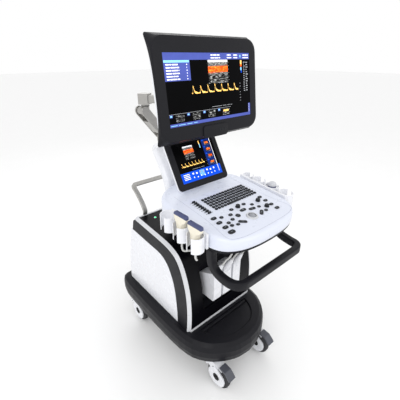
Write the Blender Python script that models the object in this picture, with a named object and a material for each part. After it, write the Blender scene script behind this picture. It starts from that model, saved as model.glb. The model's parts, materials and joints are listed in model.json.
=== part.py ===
"""Trolley ultrasound scanner for a clinic, as separate named parts.

Units are metres, +Z is up, the operator stands at -Y and +X is at the operator's right.
The origin is on the floor, under the middle of the trolley. Moving parts have their origin on
their joint's axis.
"""

import math

import bmesh
import bpy
from mathutils import Matrix, Vector

GAP = 0.0003  # clearance between parts that touch

# Trolley
BASE_BOTTOM = 0.140
BASE_TOP = 0.250  # at the front of the base
BASE_RISE = 0.020  # how much the top of the base climbs for each metre towards the rear
BASE_FRONT = -0.345
BODY_HALF = 0.203  # half width over the trims
TRIM = 0.013  # width of the silver trim
PLATE = 0.012  # thickness of the side plates
FASCIA = 0.010
PORT_BOTTOM = 0.335
PORT_TOP = 0.565
PORT_HALF = 0.120
PORT_BACK = -0.095
CONNECTOR_X = (-0.068, -0.009, 0.050)
CONNECTOR_HALF = 0.023
BELL_FOOT = (-0.176, 0.530)
BELL_LEAN = math.radians(28)
BELL_LENGTH = 0.080

# Casters
WHEEL_R = 0.0625
WHEEL_W = 0.027
WHEEL_SIDES = 28
TRAIL = 0.045
FRONT_STEM = (0.138, -0.240)
REAR_STEM = (0.196, 0.335)

# Console
DECK_Y = -0.101
DECK_Z = 0.858
DECK_SLOPE = math.radians(6.0)
CONSOLE_HALF = 0.217
CONSOLE_BOTTOM = 0.785
TRAY_BOTTOM = 0.768
CONTROL_X = -0.007  # middle of the control cluster
BALL_Y = -0.294
BALL_R = 0.0185
KNOBS = ((-0.0045, -0.220), (0.0990, -0.2345), (0.0945, -0.2825))
KEYBOARD = (0.0285, -0.1455)
KEYBOARD_HALF = (0.1200, 0.0465)
SLIDER_X = -0.1245
SLIDER_Y = -0.1000
SLIDER_PITCH = 0.0128
CUP_X = 0.255
CUP_Y = (-0.262, -0.189, -0.116)
RING_Y = -0.056
RING_R = 0.026
CUP_R = 0.031
CUP_WALL = 0.003
CUP_BOTTOM = 0.796  # at the middle cup
CUP_TALL = 0.058
TAIL = 0.018  # how far a probe's strain relief hangs below its cup
HEAD_DOME = 0.009
HEAD_THICK = 0.0085  # half thickness of a convex probe at its lens

# Probe cables
CABLE_D = 0.0075
CABLE_PITCH = 0.0086  # height of one turn on the rack
RACK_Y = -0.215
RACK_HALF = 0.100
RACK_R = 0.0375
TURN_R = 0.0437
RACK_BOTTOM = 0.704

# Touch screen
TOUCH_TILT = math.radians(60.0)
TOUCH_HALF = 0.135
TOUCH_TALL = 0.216
TOUCH_LOW = (-0.038, 0.884)  # lower edge of the front face, as (y, z)
TOUCH_HUB = (0.044, 0.060)  # the tilt axis, behind and above that edge
TOUCH_HUB_HALF = 0.045

# Arm and monitor
ARM_FOOT = (0.0, 0.2295, 1.0176)
ELBOW = (-0.1135, 0.214, 1.1902)  # top of the elbow's post
BLOCK_HALF = 0.0225
BLOCK_TALL = 0.042
LINK_R = 0.019
LUG_HALF = 0.0175
MONITOR_SWIVEL = (0.0, 0.046, 1.265)
HEAD = (0.0, 0.010, 1.265)  # on the monitor's tilt axis
HUB_HALF = 0.022
MONITOR = (0.0, -0.066, 1.265)
MONITOR_TILT = math.radians(7.3)
BEZEL_HALF = 0.242
BEZEL_UP = 0.164
SCREEN = (0.408, 0.2295)


# ---------------------------------------------------------------- helpers


def clear_scene():
    for obj in list(bpy.data.objects):
        bpy.data.objects.remove(obj, do_unlink=True)


def paint(name, colour, roughness, metallic=0.0):
    material = bpy.data.materials.new(name)
    material.use_nodes = True
    shader = material.node_tree.nodes["Principled BSDF"]
    shader.inputs["Base Color"].default_value = (*colour, 1.0)
    shader.inputs["Roughness"].default_value = roughness
    shader.inputs["Metallic"].default_value = metallic
    return material


def add(name, bm, material, origin=(0, 0, 0), turn=(0, 0, 0)):
    """A new object from a mesh whose points are measured from origin."""
    bmesh.ops.recalc_face_normals(bm, faces=bm.faces)
    mesh = bpy.data.meshes.new(name)
    bm.to_mesh(mesh)
    bm.free()
    if material:
        mesh.materials.append(material)
    mesh.shade_smooth()
    mesh.set_sharp_from_angle(angle=math.radians(35))
    obj = bpy.data.objects.new(name, mesh)
    obj.location = origin
    obj.rotation_euler = turn
    bpy.context.scene.collection.objects.link(obj)
    return obj


def combine(obj, other, operation):
    """Keeps other as a hidden helper that is cut from obj or joined to it."""
    other.hide_render = True
    other.display_type = "WIRE"
    modifier = obj.modifiers.new(other.name, "BOOLEAN")
    modifier.operation = operation
    modifier.object = other
    modifier.solver = "EXACT"
    return obj


def loft(rings, closed=False):
    """Joins rings of equally many points, with flat caps unless the last ring meets the first."""
    bm = bmesh.new()
    loops = [[bm.verts.new(point) for point in ring] for ring in rings]
    count = len(rings[0])
    pairs = list(zip(loops, loops[1:]))
    if closed:
        pairs.append((loops[-1], loops[0]))
    for low, high in pairs:
        for i in range(count):
            j = (i + 1) % count
            bm.faces.new((low[i], low[j], high[j], high[i]))
    if not closed:
        bm.faces.new(reversed(loops[0]))
        bm.faces.new(loops[-1])
    return bm


def prism(outline, low, high, axis):
    """An outline in the plane across the axis, extruded from low to high along it."""
    place = {
        "x": lambda a, b, c: (c, a, b),
        "y": lambda a, b, c: (a, c, b),
        "z": lambda a, b, c: (a, b, c),
    }[axis]
    return loft([[place(a, b, c) for a, b in outline] for c in (low, high)])


def box(low, high):
    outline = ((low[0], low[1]), (high[0], low[1]), (high[0], high[1]), (low[0], high[1]))
    return prism(outline, low[2], high[2], "z")


def arc(centre, radius, start, end, steps):
    """Points on an arc, in degrees."""
    found = []
    for i in range(steps + 1):
        angle = math.radians(start + (end - start) * i / steps)
        found.append((centre[0] + radius * math.cos(angle), centre[1] + radius * math.sin(angle)))
    return found


def round_box(half_x, half_y, radius, steps=4, centre=(0, 0)):
    found = []
    for quarter, (sx, sy) in enumerate(((1, 1), (-1, 1), (-1, -1), (1, -1))):
        corner = (centre[0] + sx * (half_x - radius), centre[1] + sy * (half_y - radius))
        found += arc(corner, radius, 90 * quarter, 90 * quarter + 90, steps)
    return found


def stadium(half_x, radius, centre_y, steps=8):
    return arc((half_x, centre_y), radius, -90, 90, steps) + arc((-half_x, centre_y), radius, 90, 270, steps)


def smooth(points, steps=4, closed=False):
    """A Catmull-Rom curve through points of any dimension."""
    count = len(points)
    vectors = [Vector(point) for point in points]
    found = []
    for i in range(count if closed else count - 1):
        if closed:
            a, b, c, d = (vectors[(i + k) % count] for k in (-1, 0, 1, 2))
        else:
            b, c = vectors[i], vectors[i + 1]
            a = vectors[i - 1] if i else b * 2 - c
            d = vectors[i + 2] if i + 2 < count else c * 2 - b
        for k in range(steps):
            t = k / steps
            found.append(
                (b * 2 + (c - a) * t + (a * 2 - b * 5 + c * 4 - d) * t**2 + (b * 3 - a - c * 3 + d) * t**3) / 2
            )
    if not closed:
        found.append(vectors[-1])
    return [tuple(v) for v in found]


def divided(outline, shortest, count):
    """A closed outline whose sides longer than shortest are cut into count pieces."""
    found = []
    for i, point in enumerate(outline):
        start, end = Vector(point), Vector(outline[(i + 1) % len(outline)])
        pieces = count if (end - start).length > shortest else 1
        found += [tuple(start.lerp(end, k / pieces)) for k in range(pieces)]
    return found


def offset(points, distance):
    """An open path in a plane, moved to its right-hand side."""
    found = []
    for i, point in enumerate(points):
        before = Vector(points[max(i - 1, 0)])
        after = Vector(points[min(i + 1, len(points) - 1)])
        along = (after - before).normalized()
        found.append((point[0] + along.y * distance, point[1] - along.x * distance))
    return found


def mirrored(half):
    """A closed outline from its +X half, which runs from the front middle to the rear middle."""
    return half + [(-x, y) for x, y in reversed(half) if x > 1e-6]


def shrunk(outline, distance):
    """A closed outline that runs anticlockwise, drawn in by a distance."""
    found = []
    count = len(outline)
    for i, point in enumerate(outline):
        along = (Vector(outline[(i + 1) % count]) - Vector(outline[i - 1])).normalized()
        found.append((point[0] - along.y * distance, point[1] + along.x * distance))
    return found


def turned(profile, steps, axis="z", closed=False):
    """A profile of (radius, height) turned round an axis."""
    rings = []
    for radius, height in profile:
        ring = []
        for i in range(steps):
            angle = 2 * math.pi * i / steps
            a, b = radius * math.cos(angle), radius * math.sin(angle)
            ring.append({"z": (a, b, height), "x": (height, a, b), "y": (b, height, a)}[axis])
        rings.append(ring)
    return loft(rings, closed)


def sweep(path, section):
    """A section of (across, up) points carried along a path, kept level with the least twist."""
    points = [Vector(point) for point in path]
    rings = []
    side = None
    for i, point in enumerate(points):
        along = (points[min(i + 1, len(points) - 1)] - points[max(i - 1, 0)]).normalized()
        if side is None:
            side = along.orthogonal().normalized()
            if abs(along.z) > 0.9:
                side = Vector((1, 0, 0))
        side = (side - along * side.dot(along)).normalized()
        up = side.cross(along)
        rings.append([tuple(point + side * a + up * b) for a, b in section])
    return loft(rings)


def placed(bm, matrix):
    bmesh.ops.transform(bm, matrix=matrix, verts=bm.verts)
    return bm


def base_top(y):
    return BASE_TOP + BASE_RISE * (y - BASE_FRONT)


def deck(y):
    return DECK_Z + math.tan(DECK_SLOPE) * (y - DECK_Y)


# ---------------------------------------------------------------- trolley


def base_outline():
    half = [
        (0.0, BASE_FRONT),
        (0.060, -0.337),
        (0.105, -0.320),
        (0.150, -0.292),
        (0.190, -0.256),
        (0.226, -0.196),
        (0.241, -0.120),
        (0.246, -0.020),
        (0.247, 0.110),
        (0.246, 0.220),
        (0.243, 0.320),
        (0.234, 0.380),
        (0.203, 0.412),
        (0.100, 0.418),
        (0.0, 0.418),
    ]
    right = smooth(half, 2)
    return mirrored(right)


def make_base(black):
    outline = base_outline()

    def ring(inset, share):
        return [(x, y, BASE_BOTTOM + share * (base_top(y) - BASE_BOTTOM)) for x, y in shrunk(outline, inset)]

    levels = ((0.020, 0.0), (0.006, 0.14), (0.0, 0.40), (0.0, 0.68), (0.006, 0.89), (0.022, 1.0))
    base = add("base_shell", loft([ring(*level) for level in levels]), black)
    well = smooth([(0.0, -0.286), (0.070, -0.278), (0.120, -0.240), (0.146, -0.190), (0.148, -0.168)], 3)
    well += [(0.0, -0.168)]
    recess = [[(x, y, base_top(y) + lift) for x, y in mirrored(well)] for lift in (-0.008, 0.02)]
    combine(base, add("footrest_cut", loft(recess), None), "DIFFERENCE")
    under = box((-0.130, -0.150, BASE_BOTTOM - 0.05), (0.130, 0.300, BASE_BOTTOM + 0.085))
    combine(base, add("under_cut", under, None), "DIFFERENCE")


def front_curve():
    """The side view of the body's front and top edge, as (y, z), from the base up and over."""
    points = [
        (-0.150, base_top(-0.150) + GAP),
        (-0.156, 0.330),
        (-0.155, 0.413),
        (-0.145, 0.490),
        (-0.122, 0.563),
        (-0.095, 0.612),
        (-0.060, 0.641),
        (-0.002, 0.659),
        (0.090, 0.670),
        (0.186, 0.679),
        (0.238, 0.684),
    ]
    return smooth(points, 3)


def panel_curve():
    """The front edge of the white side panel, as (y, z), from the base up and back."""
    points = [
        (-0.067, base_top(-0.067) + GAP),
        (-0.066, 0.340),
        (-0.054, 0.444),
        (-0.034, 0.504),
        (-0.006, 0.550),
        (0.040, 0.579),
        (0.130, 0.588),
        (0.266, 0.600),
    ]
    return smooth(points, 3)


def make_sides(white, black):
    trim_inner = offset(front_curve(), TRIM + GAP)
    trim_inner[0] = (trim_inner[0][0], base_top(trim_inner[0][0]) + GAP)
    edge = panel_curve()
    rear_top = (0.240, trim_inner[-1][1])
    band = trim_inner[:-1] + [rear_top, (0.262, 0.655), (0.266 + 0.010, 0.600)]
    band += [(y - GAP, z + GAP) for y, z in reversed(edge[1:])]
    band += [(edge[0][0] - GAP, edge[0][1])]
    rear_foot = 0.350
    panel = edge + [(0.290, 0.600), (0.318, 0.500), (0.340, 0.390), (rear_foot, base_top(rear_foot) + GAP)]
    inner = BODY_HALF - 0.002 - PLATE
    outer = BODY_HALF - 0.002
    for side, sign in (("left", -1), ("right", 1)):
        low, high = sorted((sign * inner, sign * outer))
        add(side + "_side_band", prism(band, low, high, "x"), black)
        add(side + "_side_panel", prism(panel, low, high, "x"), white)


def make_trim(silver):
    """Two chamfered strips round the body's front and top edge, joined at the foot and the rear."""
    outer = front_curve()
    inner = offset(outer, TRIM)
    slope = offset(outer, 0.010)
    foot_z = base_top(-0.150) + GAP
    for curve in (inner, slope):
        curve[0] = (curve[0][0], foot_z)
    near = BODY_HALF - 0.014
    rings = []
    for x, edge in ((near, outer), (BODY_HALF, slope)):
        rings.append([(x, y, z) for y, z in edge + inner[::-1]])
    trim = add("front_trim", loft([[(-x, y, z) for x, y, z in ring] for ring in rings]), silver)
    combine(trim, add("trim_right", loft(rings), None), "UNION")
    foot = box((-near - 0.003, -0.1535, foot_z), (near + 0.003, -0.1385, foot_z + TRIM))
    combine(trim, add("trim_foot", foot, None), "UNION")
    crossbar = box((-near - 0.003, 0.2265, 0.6725), (near + 0.003, 0.2370, 0.6825))
    combine(trim, add("trim_rear", crossbar, None), "UNION")


def make_fascia(gloss):
    half = BODY_HALF - 0.014 - GAP
    outer = [point for point in offset(front_curve(), 0.003) if point[0] < 0.226]
    outer = [(-0.1531, base_top(-0.150) + TRIM + 2 * GAP)] + [p for p in outer if p[1] > 0.30]
    outer.append((0.2262, outer[-1][1]))
    inner = offset(outer, FASCIA)
    inner[0] = (inner[0][0], outer[0][1])
    shell = outer + inner[::-1]
    fascia = add("front_fascia", prism(shell, -half, half, "x"), gloss)
    opening = round_box(PORT_HALF, (PORT_TOP - PORT_BOTTOM) / 2, 0.022, 3, (0, (PORT_TOP + PORT_BOTTOM) / 2))
    combine(fascia, add("port_opening", prism(opening, -0.20, -0.08, "y"), None), "DIFFERENCE")
    return outer


def make_port_panel(black, fascia_outer):
    back = [p for p in offset(fascia_outer, FASCIA + GAP) if PORT_BOTTOM - 0.02 < p[1] < PORT_TOP + 0.02]
    side = back + [(PORT_BACK + 0.008, back[-1][1]), (PORT_BACK + 0.008, back[0][1])]
    panel = add("port_panel", prism(side, -PORT_HALF - 0.006, PORT_HALF + 0.006, "x"), black)
    pocket = round_box(PORT_HALF, (PORT_TOP - PORT_BOTTOM) / 2, 0.022, 3, (0, (PORT_TOP + PORT_BOTTOM) / 2))
    combine(panel, add("port_pocket", prism(pocket, -0.20, PORT_BACK, "y"), None), "DIFFERENCE")


def make_rear(black, steel):
    foot = (0.353, base_top(0.353) + GAP)
    outer = [(0.2475, 0.671), (0.264, 0.648), (0.282, 0.600), (0.318, 0.500), (0.340, 0.390), foot]
    inner = offset(outer, 0.012)
    inner[-1] = (0.341, base_top(0.341) + GAP)
    half = BODY_HALF - 0.002 - PLATE - GAP
    add("rear_cover", prism(outer + inner[::-1], -half, half, "x"), black)
    low, high = Vector((-0.165, 0.030, base_top(0.230) + 2 * GAP)), Vector((0.165, 0.230, 0.560))
    wall = Vector((0.0015, 0.0015, 0.0015))
    unit = add("electronics_box", box(low, high), steel)
    inside = box(low + wall - Vector((0, 0, 0.010)), high - wall)
    combine(unit, add("electronics_space", inside, None), "DIFFERENCE")


def make_rear_handle(silver):
    foot = 0.232
    height = 0.6850
    side = [
        (foot, height),
        (foot - 0.004, height + 0.020),
        (0.250, height + 0.055),
        (0.290, height + 0.095),
        (0.312, height + 0.112),
    ]
    left = [(-0.150, y, z) for y, z in side]
    corner = [(-0.140, 0.322, 0.803), (-0.115, 0.325, 0.805)]
    half = left + corner
    path = smooth(half + [(-x, y, z) for x, y, z in reversed(half)], 2)
    add("rear_handle", sweep(path, round_box(0.012, 0.005, 0.003, 1)), silver)


# ---------------------------------------------------------------- casters


def make_caster(name, x, y, white, black, grey, with_pedal):
    cheek_in = WHEEL_W / 2 + 0.0015
    cheek_out = cheek_in + 0.0060
    wheel_y = -TRAIL
    drop = BASE_BOTTOM - GAP  # the caster's origin is on its swivel axis, at floor level
    cheek = arc((wheel_y, WHEEL_R), 0.050, 150, 400, 10) + [(0.020, 0.112), (0.020, 0.1310), (-0.020, 0.1330)]
    fork = add(name + "_fork", prism(cheek, -cheek_out, -cheek_in, "x"), white, (x, y, 0))
    other = add(name + "_cheek", prism(cheek, cheek_in, cheek_out, "x"), None, (x, y, 0))
    combine(fork, other, "UNION")
    crown = arc((wheel_y, WHEEL_R), 0.0660, 20, 118, 6)
    crown += [(-0.040, drop - 0.005), (-0.022, drop), (0.022, drop), (0.022, 0.100)]
    bridge = add(name + "_bridge", prism(crown, -cheek_out, cheek_out, "x"), None, (x, y, 0))
    combine(fork, bridge, "UNION")
    rim = WHEEL_W / 2
    corner = WHEEL_R / math.cos(math.pi / WHEEL_SIDES)  # so that a flat of the tread lies on the floor
    tread = [
        (0.008, -rim),
        (corner - 0.004, -rim),
        (corner, -rim + 0.004),
        (corner, rim - 0.004),
        (corner - 0.004, rim),
        (0.008, rim),
    ]
    wheel = placed(turned(tread, WHEEL_SIDES, "x"), Matrix.Rotation(math.pi / WHEEL_SIDES, 4, "X"))
    add(name + "_wheel", wheel, black, (x, y + wheel_y, WHEEL_R))
    if with_pedal:
        pivot = (x, y + wheel_y - 0.020, 0.1355)
        lever = [(0.004, -0.003), (0.004, 0.003), (-0.030, 0.000), (-0.056, -0.022), (-0.060, -0.030)]
        lever += [(-0.052, -0.032), (-0.030, -0.010)]
        add(name + "_pedal", prism(lever, -0.019, 0.019, "x"), grey, pivot)


def make_casters(white, black, grey):
    for end, (x, y) in (("front", FRONT_STEM), ("rear", REAR_STEM)):
        for side, sign in (("left", -1), ("right", 1)):
            make_caster(end + "_" + side, sign * x, y, white, black, grey, end == "front")


# ---------------------------------------------------------------- console


def console_outline():
    half = [
        (0.0, -0.386),
        (0.060, -0.384),
        (0.115, -0.376),
        (0.157, -0.361),
        (0.190, -0.337),
        (0.209, -0.302),
        (0.2155, -0.255),
        (CONSOLE_HALF - 0.0006, -0.180),
        (CONSOLE_HALF - 0.0006, -0.050),
        (0.208, -0.008),
        (0.186, 0.024),
        (0.140, 0.056),
        (0.070, 0.074),
        (0.0, 0.076),
    ]
    return mirrored(smooth(half, 2))


def make_console(white, black):
    outline = console_outline()

    def low(inset, z):
        return [(x, y, z) for x, y in shrunk(outline, inset)]

    def high(inset, drop):
        return [(x, y, deck(y) - drop) for x, y in shrunk(outline, inset)]

    rings = [low(0.005, CONSOLE_BOTTOM), low(0.0, CONSOLE_BOTTOM + 0.006), high(0.0, 0.013)]
    rings += [high(0.0035, 0.005), high(0.014, 0.0)]
    top = add("console_top", loft(rings), white)
    socket = turned([(BALL_R + 0.0010, -0.0290), (BALL_R + 0.0010, 0.02)], 20)
    pocket = add("trackball_socket", socket, None, (CONTROL_X, BALL_Y, deck(BALL_Y)))
    combine(top, pocket, "DIFFERENCE")

    tray = loft([low(0.016, TRAY_BOTTOM), low(0.004, TRAY_BOTTOM + 0.008), low(0.004, CONSOLE_BOTTOM - GAP)])
    frame = add("console_tray", tray, black)
    return frame


def make_column(frame, fascia_outer):
    seat = [(y, z + 2 * GAP) for y, z in fascia_outer if -0.050 < y < 0.075]
    side = seat + [(seat[-1][0], TRAY_BOTTOM + 0.010), (seat[0][0], TRAY_BOTTOM + 0.010)]
    combine(frame, add("column", prism(side, -0.085, 0.085, "x"), None), "UNION")


def make_neck(white, fascia_outer):
    """The stalk behind the touch screen, from the trolley's top up and back to the monitor arm."""
    seat = [point for point in fascia_outer if 0.075 < point[0] < 0.140]
    foot = max(z for _, z in seat) + 2 * GAP
    stations = (
        ((0.0830, foot), (0.1190, foot), 0.110),
        ((0.0830, 0.8100), (0.1200, 0.8100), 0.109),
        ((0.0845, 0.8415), (0.1260, 0.8465), 0.108),
        ((0.0970, 0.8830), (0.1445, 0.8830), 0.106),
        ((0.1320, 0.9345), (0.1755, 0.9245), 0.1015),
        ((0.1735, 0.9740), (0.2110, 0.9535), 0.093),
        ((0.2150, 0.9970), (0.2460, 0.9680), 0.081),
        ((0.2565, 1.0050), (0.2730, 0.9740), 0.062),
    )
    rings = []
    for front, rear, half in stations:
        a, b = Vector(front), Vector(rear)
        middle, reach = (a + b) / 2, (b - a).length / 2
        along = (b - a).normalized()
        ring = []
        for u, v in round_box(half, reach, reach * 0.8, 3):
            spot = middle + along * v
            ring.append((u, spot.x, spot.y))
        rings.append(ring)
    neck = add("neck", loft(rings), white)
    mount = turned([(0.030, 0.972), (0.030, ARM_FOOT[2] - GAP)], 20)
    combine(neck, add("neck_boss", mount, None, (ARM_FOOT[0], ARM_FOOT[1], 0)), "UNION")
    hub = touch_hub()
    for sign in (-1, 1):
        near, far = sorted((sign * (TOUCH_HUB_HALF + 0.0005), sign * (TOUCH_HUB_HALF + 0.0085)))
        ear = arc((hub[1], hub[2]), 0.011, 90, 270, 6) + [(0.140, hub[2] - 0.011), (0.140, hub[2] + 0.011)]
        combine(neck, add("touch_ear_%d" % (sign + 1), prism(ear, near, far, "x"), None), "UNION")


def touch_hub():
    """The touch screen's tilt axis, in world space."""
    lean = Matrix.Rotation(TOUCH_TILT - math.pi / 2, 3, "X")
    return Vector((0, *TOUCH_LOW)) + lean @ Vector((0, *TOUCH_HUB))


def make_front_handle(black):
    x = 0.190
    half = [
        (-x, -0.272, TRAY_BOTTOM - GAP),
        (-x, -0.272, TRAY_BOTTOM - 0.010),
        (-x, -0.272, 0.742),
        (-x, -0.277, 0.708),
        (-x, -0.300, 0.682),
        (-x, -0.345, 0.672),
        (-x + 0.006, -0.381, 0.672),
        (-x + 0.027, -0.399, 0.672),
        (-x + 0.070, -0.402, 0.672),
    ]
    path = smooth(half + [(-a, b, c) for a, b, c in reversed(half)], 2)
    add("front_handle", sweep(path, round_box(0.013, 0.016, 0.008, 2)), black)


def cup_wall(cx, cy, radius, join):
    """One cup seen from above: a ring with a slot away from the console, open where it joins the rail."""
    inner = radius - CUP_WALL
    slot = 20
    centre = (cx, cy)
    found = arc(centre, radius, join, 180 - slot, 7)
    found += arc(centre, inner, 180 - slot, -180 + slot, 15)
    found += arc(centre, radius, 180 + slot, 360 - join, 7)
    return found


def cup_foot(y):
    return CUP_BOTTOM + math.tan(DECK_SLOPE) * (y - CUP_Y[1])


def make_holder(name, sign, cups, material):
    """Open cups on one rail that follows the deck; drawn for the left side and mirrored for the right."""
    rail_in = -CONSOLE_HALF - GAP
    rail_out = -0.2265
    rear = max(y for y, _ in cups) + 0.022
    outline = [(rail_in, -0.286), (rail_in, rear), (rail_out, rear)]
    for cy, radius in cups:
        reach = CUP_X + rail_out  # from a cup's middle to the rail, in proportion to its radius
        share = reach / CUP_R
        outline += cup_wall(rail_out - radius * share, cy, radius, math.degrees(math.acos(share)))
    outline += [(rail_out, -0.286)]
    bm = prism([(sign * -x, y) for x, y in outline], 0, CUP_TALL, "z")
    for vert in bm.verts:
        vert.co.z += cup_foot(vert.co.y)
    add(name, bm, material)


def make_keys(black):
    x, y = KEYBOARD
    half_x, half_y = KEYBOARD_HALF
    mat = prism(round_box(half_x, half_y, 0.004, 2), GAP, 0.0020, "z")
    obj = add("keyboard", mat, black, (x, y, deck(y)), (DECK_SLOPE, 0, 0))
    pitch = 2 * half_y / 6
    for row in range(6):
        middle = half_y - pitch * (row + 0.5)
        bar = box((-half_x + 0.002, middle - 0.0064, 0.001), (half_x - 0.002, middle + 0.0064, 0.0050))
        ridge = add("key_row_%d" % row, bar, None)
        ridge.parent = obj
        combine(obj, ridge, "UNION")


def make_controls(black, grey):
    tilt = (DECK_SLOPE, 0, 0)
    rings = []
    for i in range(1, 10):
        angle = math.pi * i / 10
        rings.append((BALL_R * math.sin(angle), -BALL_R * math.cos(angle)))
    add("trackball", turned(rings, 16), grey, (CONTROL_X, BALL_Y, deck(BALL_Y) - 0.0095), tilt)
    for i, (x, y) in enumerate(KNOBS):
        profile = [(0.0100, GAP), (0.0100, 0.0015), (0.0090, 0.0030), (0.0086, 0.0090), (0.0072, 0.0105)]
        add("knob_%d" % (i + 1), turned(profile, 16), black, (x, y, deck(y)), tilt)
    for i in range(8):
        y = SLIDER_Y - i * SLIDER_PITCH
        cap = box((-0.0075, -0.0030, GAP), (0.0075, 0.0030, 0.0075))
        add("tgc_slider_%d" % (i + 1), cap, black, (SLIDER_X, y, deck(y)), tilt)


# ---------------------------------------------------------------- probes and cables


def make_convex_probe(name, y, material):
    """A curved-array probe that hangs in its cup by its wide head; its origin is at the cup's foot."""
    sections = (
        (-TAIL, 0.0070, 0.0070, 0.95),
        (-0.002, 0.0095, 0.0095, 0.95),
        (0.004, 0.0125, 0.0130, 0.90),
        (0.030, 0.0140, 0.0165, 0.85),
        (0.062, 0.0138, 0.0190, 0.80),
        (0.070, 0.0118, 0.0265, 0.75),
        (0.078, 0.0098, 0.0320, 0.70),
        (0.087, HEAD_THICK, 0.0335, 0.65),
    )
    rings = []
    for z, half_x, half_y, share in sections:
        rings.append([(a, b, z) for a, b in round_box(half_x, half_y, half_x * share, 2)])
    for inset, lift in ((0.0010, 0.0060), (0.0040, 0.0085)):
        crown = round_box(HEAD_THICK - inset, 0.0335 - inset, 0.0055 - inset, 2)
        rings.append([(a, b, 0.0870 + lift + HEAD_DOME * (1 - (b / 0.0335) ** 2)) for a, b in crown])
    return add(name, loft(rings), material, (-CUP_X, y, cup_foot(y)))


def make_slim_probe(name, y, material):
    """A slim cavity probe that stands in its cup on its collar."""
    profile = [
        (0.0065, -TAIL),
        (0.0090, -0.002),
        (0.0130, 0.006),
        (0.0150, 0.036),
        (0.0190, 0.050),
        (0.0190, 0.062),
        (0.0155, 0.070),
        (0.0080, 0.075),
    ]
    return add(name, turned(profile, 16), material, (CUP_X, y, cup_foot(y)))


def make_connector(name, x, material):
    """The connector's housing stands off the port; its bell carries the cable up and forward."""
    front, back = -0.190, PORT_BACK - GAP
    side = [(front, 0.403), (front + 0.007, 0.396), (back, 0.396), (back, 0.506), (-0.150, 0.530)]
    side += [(-0.182, 0.545), (front, 0.539)]
    body = add(name, prism(side, x - CONNECTOR_HALF, x + CONNECTOR_HALF, "x"), material)
    bell = turned([(0.0185, -0.012), (0.0175, 0.012), (0.0110, 0.050), (0.0062, BELL_LENGTH)], 14)
    lean = Matrix.Translation((x, *BELL_FOOT)) @ Matrix.Rotation(BELL_LEAN, 4, "X")
    combine(body, add(name + "_bell", placed(bell, lean), None), "UNION")


def bell_end(x):
    reach = BELL_LENGTH + GAP
    return (x, BELL_FOOT[0] - reach * math.sin(BELL_LEAN), BELL_FOOT[1] + reach * math.cos(BELL_LEAN))


def winding(begin, start_z, side):
    """Nearly two turns round the cable rack, from its front run to its rear run.

    side is +1 when the cable leaves at the left, so that it first runs towards +X from begin.
    """
    radius, half = TURN_R, RACK_HALF
    right = [(half + radius * math.sin(a), -radius * math.cos(a)) for a in (0.0, 0.785, 1.571, 2.356, 3.142)]
    left = [(-x, -y) for x, y in right]
    front = [(-half * 0.45, -radius), (half * 0.45, -radius)]
    rear = [(half * 0.45, radius), (-half * 0.45, radius)]
    stations = [spot for spot in front if spot[0] > begin] + right + rear + left + front + right + rear
    climb = 2 * CABLE_PITCH * 0.8
    found = []
    for i, (x, y) in enumerate(stations):
        found.append((side * x, RACK_Y + y, start_z + climb * i / (len(stations) - 1)))
    return found


def cable_route(x, start_z, side, cup_y):
    """From the connector's bell, up and forward, round the rack, then under the cup to the probe."""
    cup_x = -side * CUP_X
    top = start_z + 2 * CABLE_PITCH * 0.8
    front = RACK_Y - TURN_R
    end = Vector((cup_x, cup_y, cup_foot(cup_y) - TAIL - GAP))
    route = [
        bell_end(x),
        (x, -0.233, 0.635),
        (x, -0.252, 0.662),
        (x, front - 0.0150, start_z - 0.031),
        (x + side * 0.012, front - 0.0175, start_z - 0.012),
        (x + side * 0.038, front - 0.0070, start_z - 0.001),
    ]
    route += winding(side * x + 0.055, start_z, side)
    route += [
        (-side * 0.100, RACK_Y + TURN_R - 0.0002, top),
        (-side * 0.148, RACK_Y + TURN_R - 0.008, top - 0.006),
        (-side * 0.198, -0.2020, top - 0.012),
        (cup_x + side * 0.026, (cup_y - 0.2020) / 2, 0.7360),
        (cup_x + side * 0.006, end.y, 0.7420),
        (end.x, end.y, end.z - 0.016),
        tuple(end),
    ]
    return route


def make_cable(name, route, material):
    points = smooth(route, 2)
    curve = bpy.data.curves.new(name, "CURVE")
    curve.dimensions = "3D"
    curve.bevel_depth = CABLE_D / 2
    curve.bevel_resolution = 2
    curve.use_fill_caps = True
    spline = curve.splines.new("POLY")
    spline.points.add(len(points) - 1)
    for spot, point in zip(spline.points, points):
        spot.co = (*point, 1.0)
    curve.materials.append(material)
    obj = bpy.data.objects.new(name, curve)
    bpy.context.scene.collection.objects.link(obj)


def make_rack(black):
    """The flanged rack under the console that the spare cable is wound on."""
    lip = RACK_BOTTOM + 0.004
    rings = []
    for radius, z in ((0.048, RACK_BOTTOM), (0.048, lip), (RACK_R, lip), (RACK_R, TRAY_BOTTOM - GAP)):
        rings.append([(x, y, z) for x, y in stadium(RACK_HALF, radius, RACK_Y, 6)])
    add("cable_rack", loft(rings), black)


def make_probes(cream, white, grey):
    make_convex_probe("probe_front", CUP_Y[0], cream)
    make_convex_probe("probe_middle", CUP_Y[1], cream)
    make_slim_probe("probe_slim", CUP_Y[1], grey)
    level = RACK_BOTTOM + 0.004 + CABLE_D / 2 + GAP
    step = 2 * CABLE_PITCH + 0.0012
    plan = (
        ("cable_front", CONNECTOR_X[0], 1, CUP_Y[0]),
        ("cable_middle", CONNECTOR_X[1], 1, CUP_Y[1]),
        ("cable_slim", CONNECTOR_X[2], -1, CUP_Y[1]),
    )
    for i, (name, x, side, cup_y) in enumerate(plan):
        make_connector("connector_%d" % (i + 1), x, white)
        make_cable(name, cable_route(x, level + (2 - i) * step, side, cup_y), cream)


# ---------------------------------------------------------------- touch screen


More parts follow.
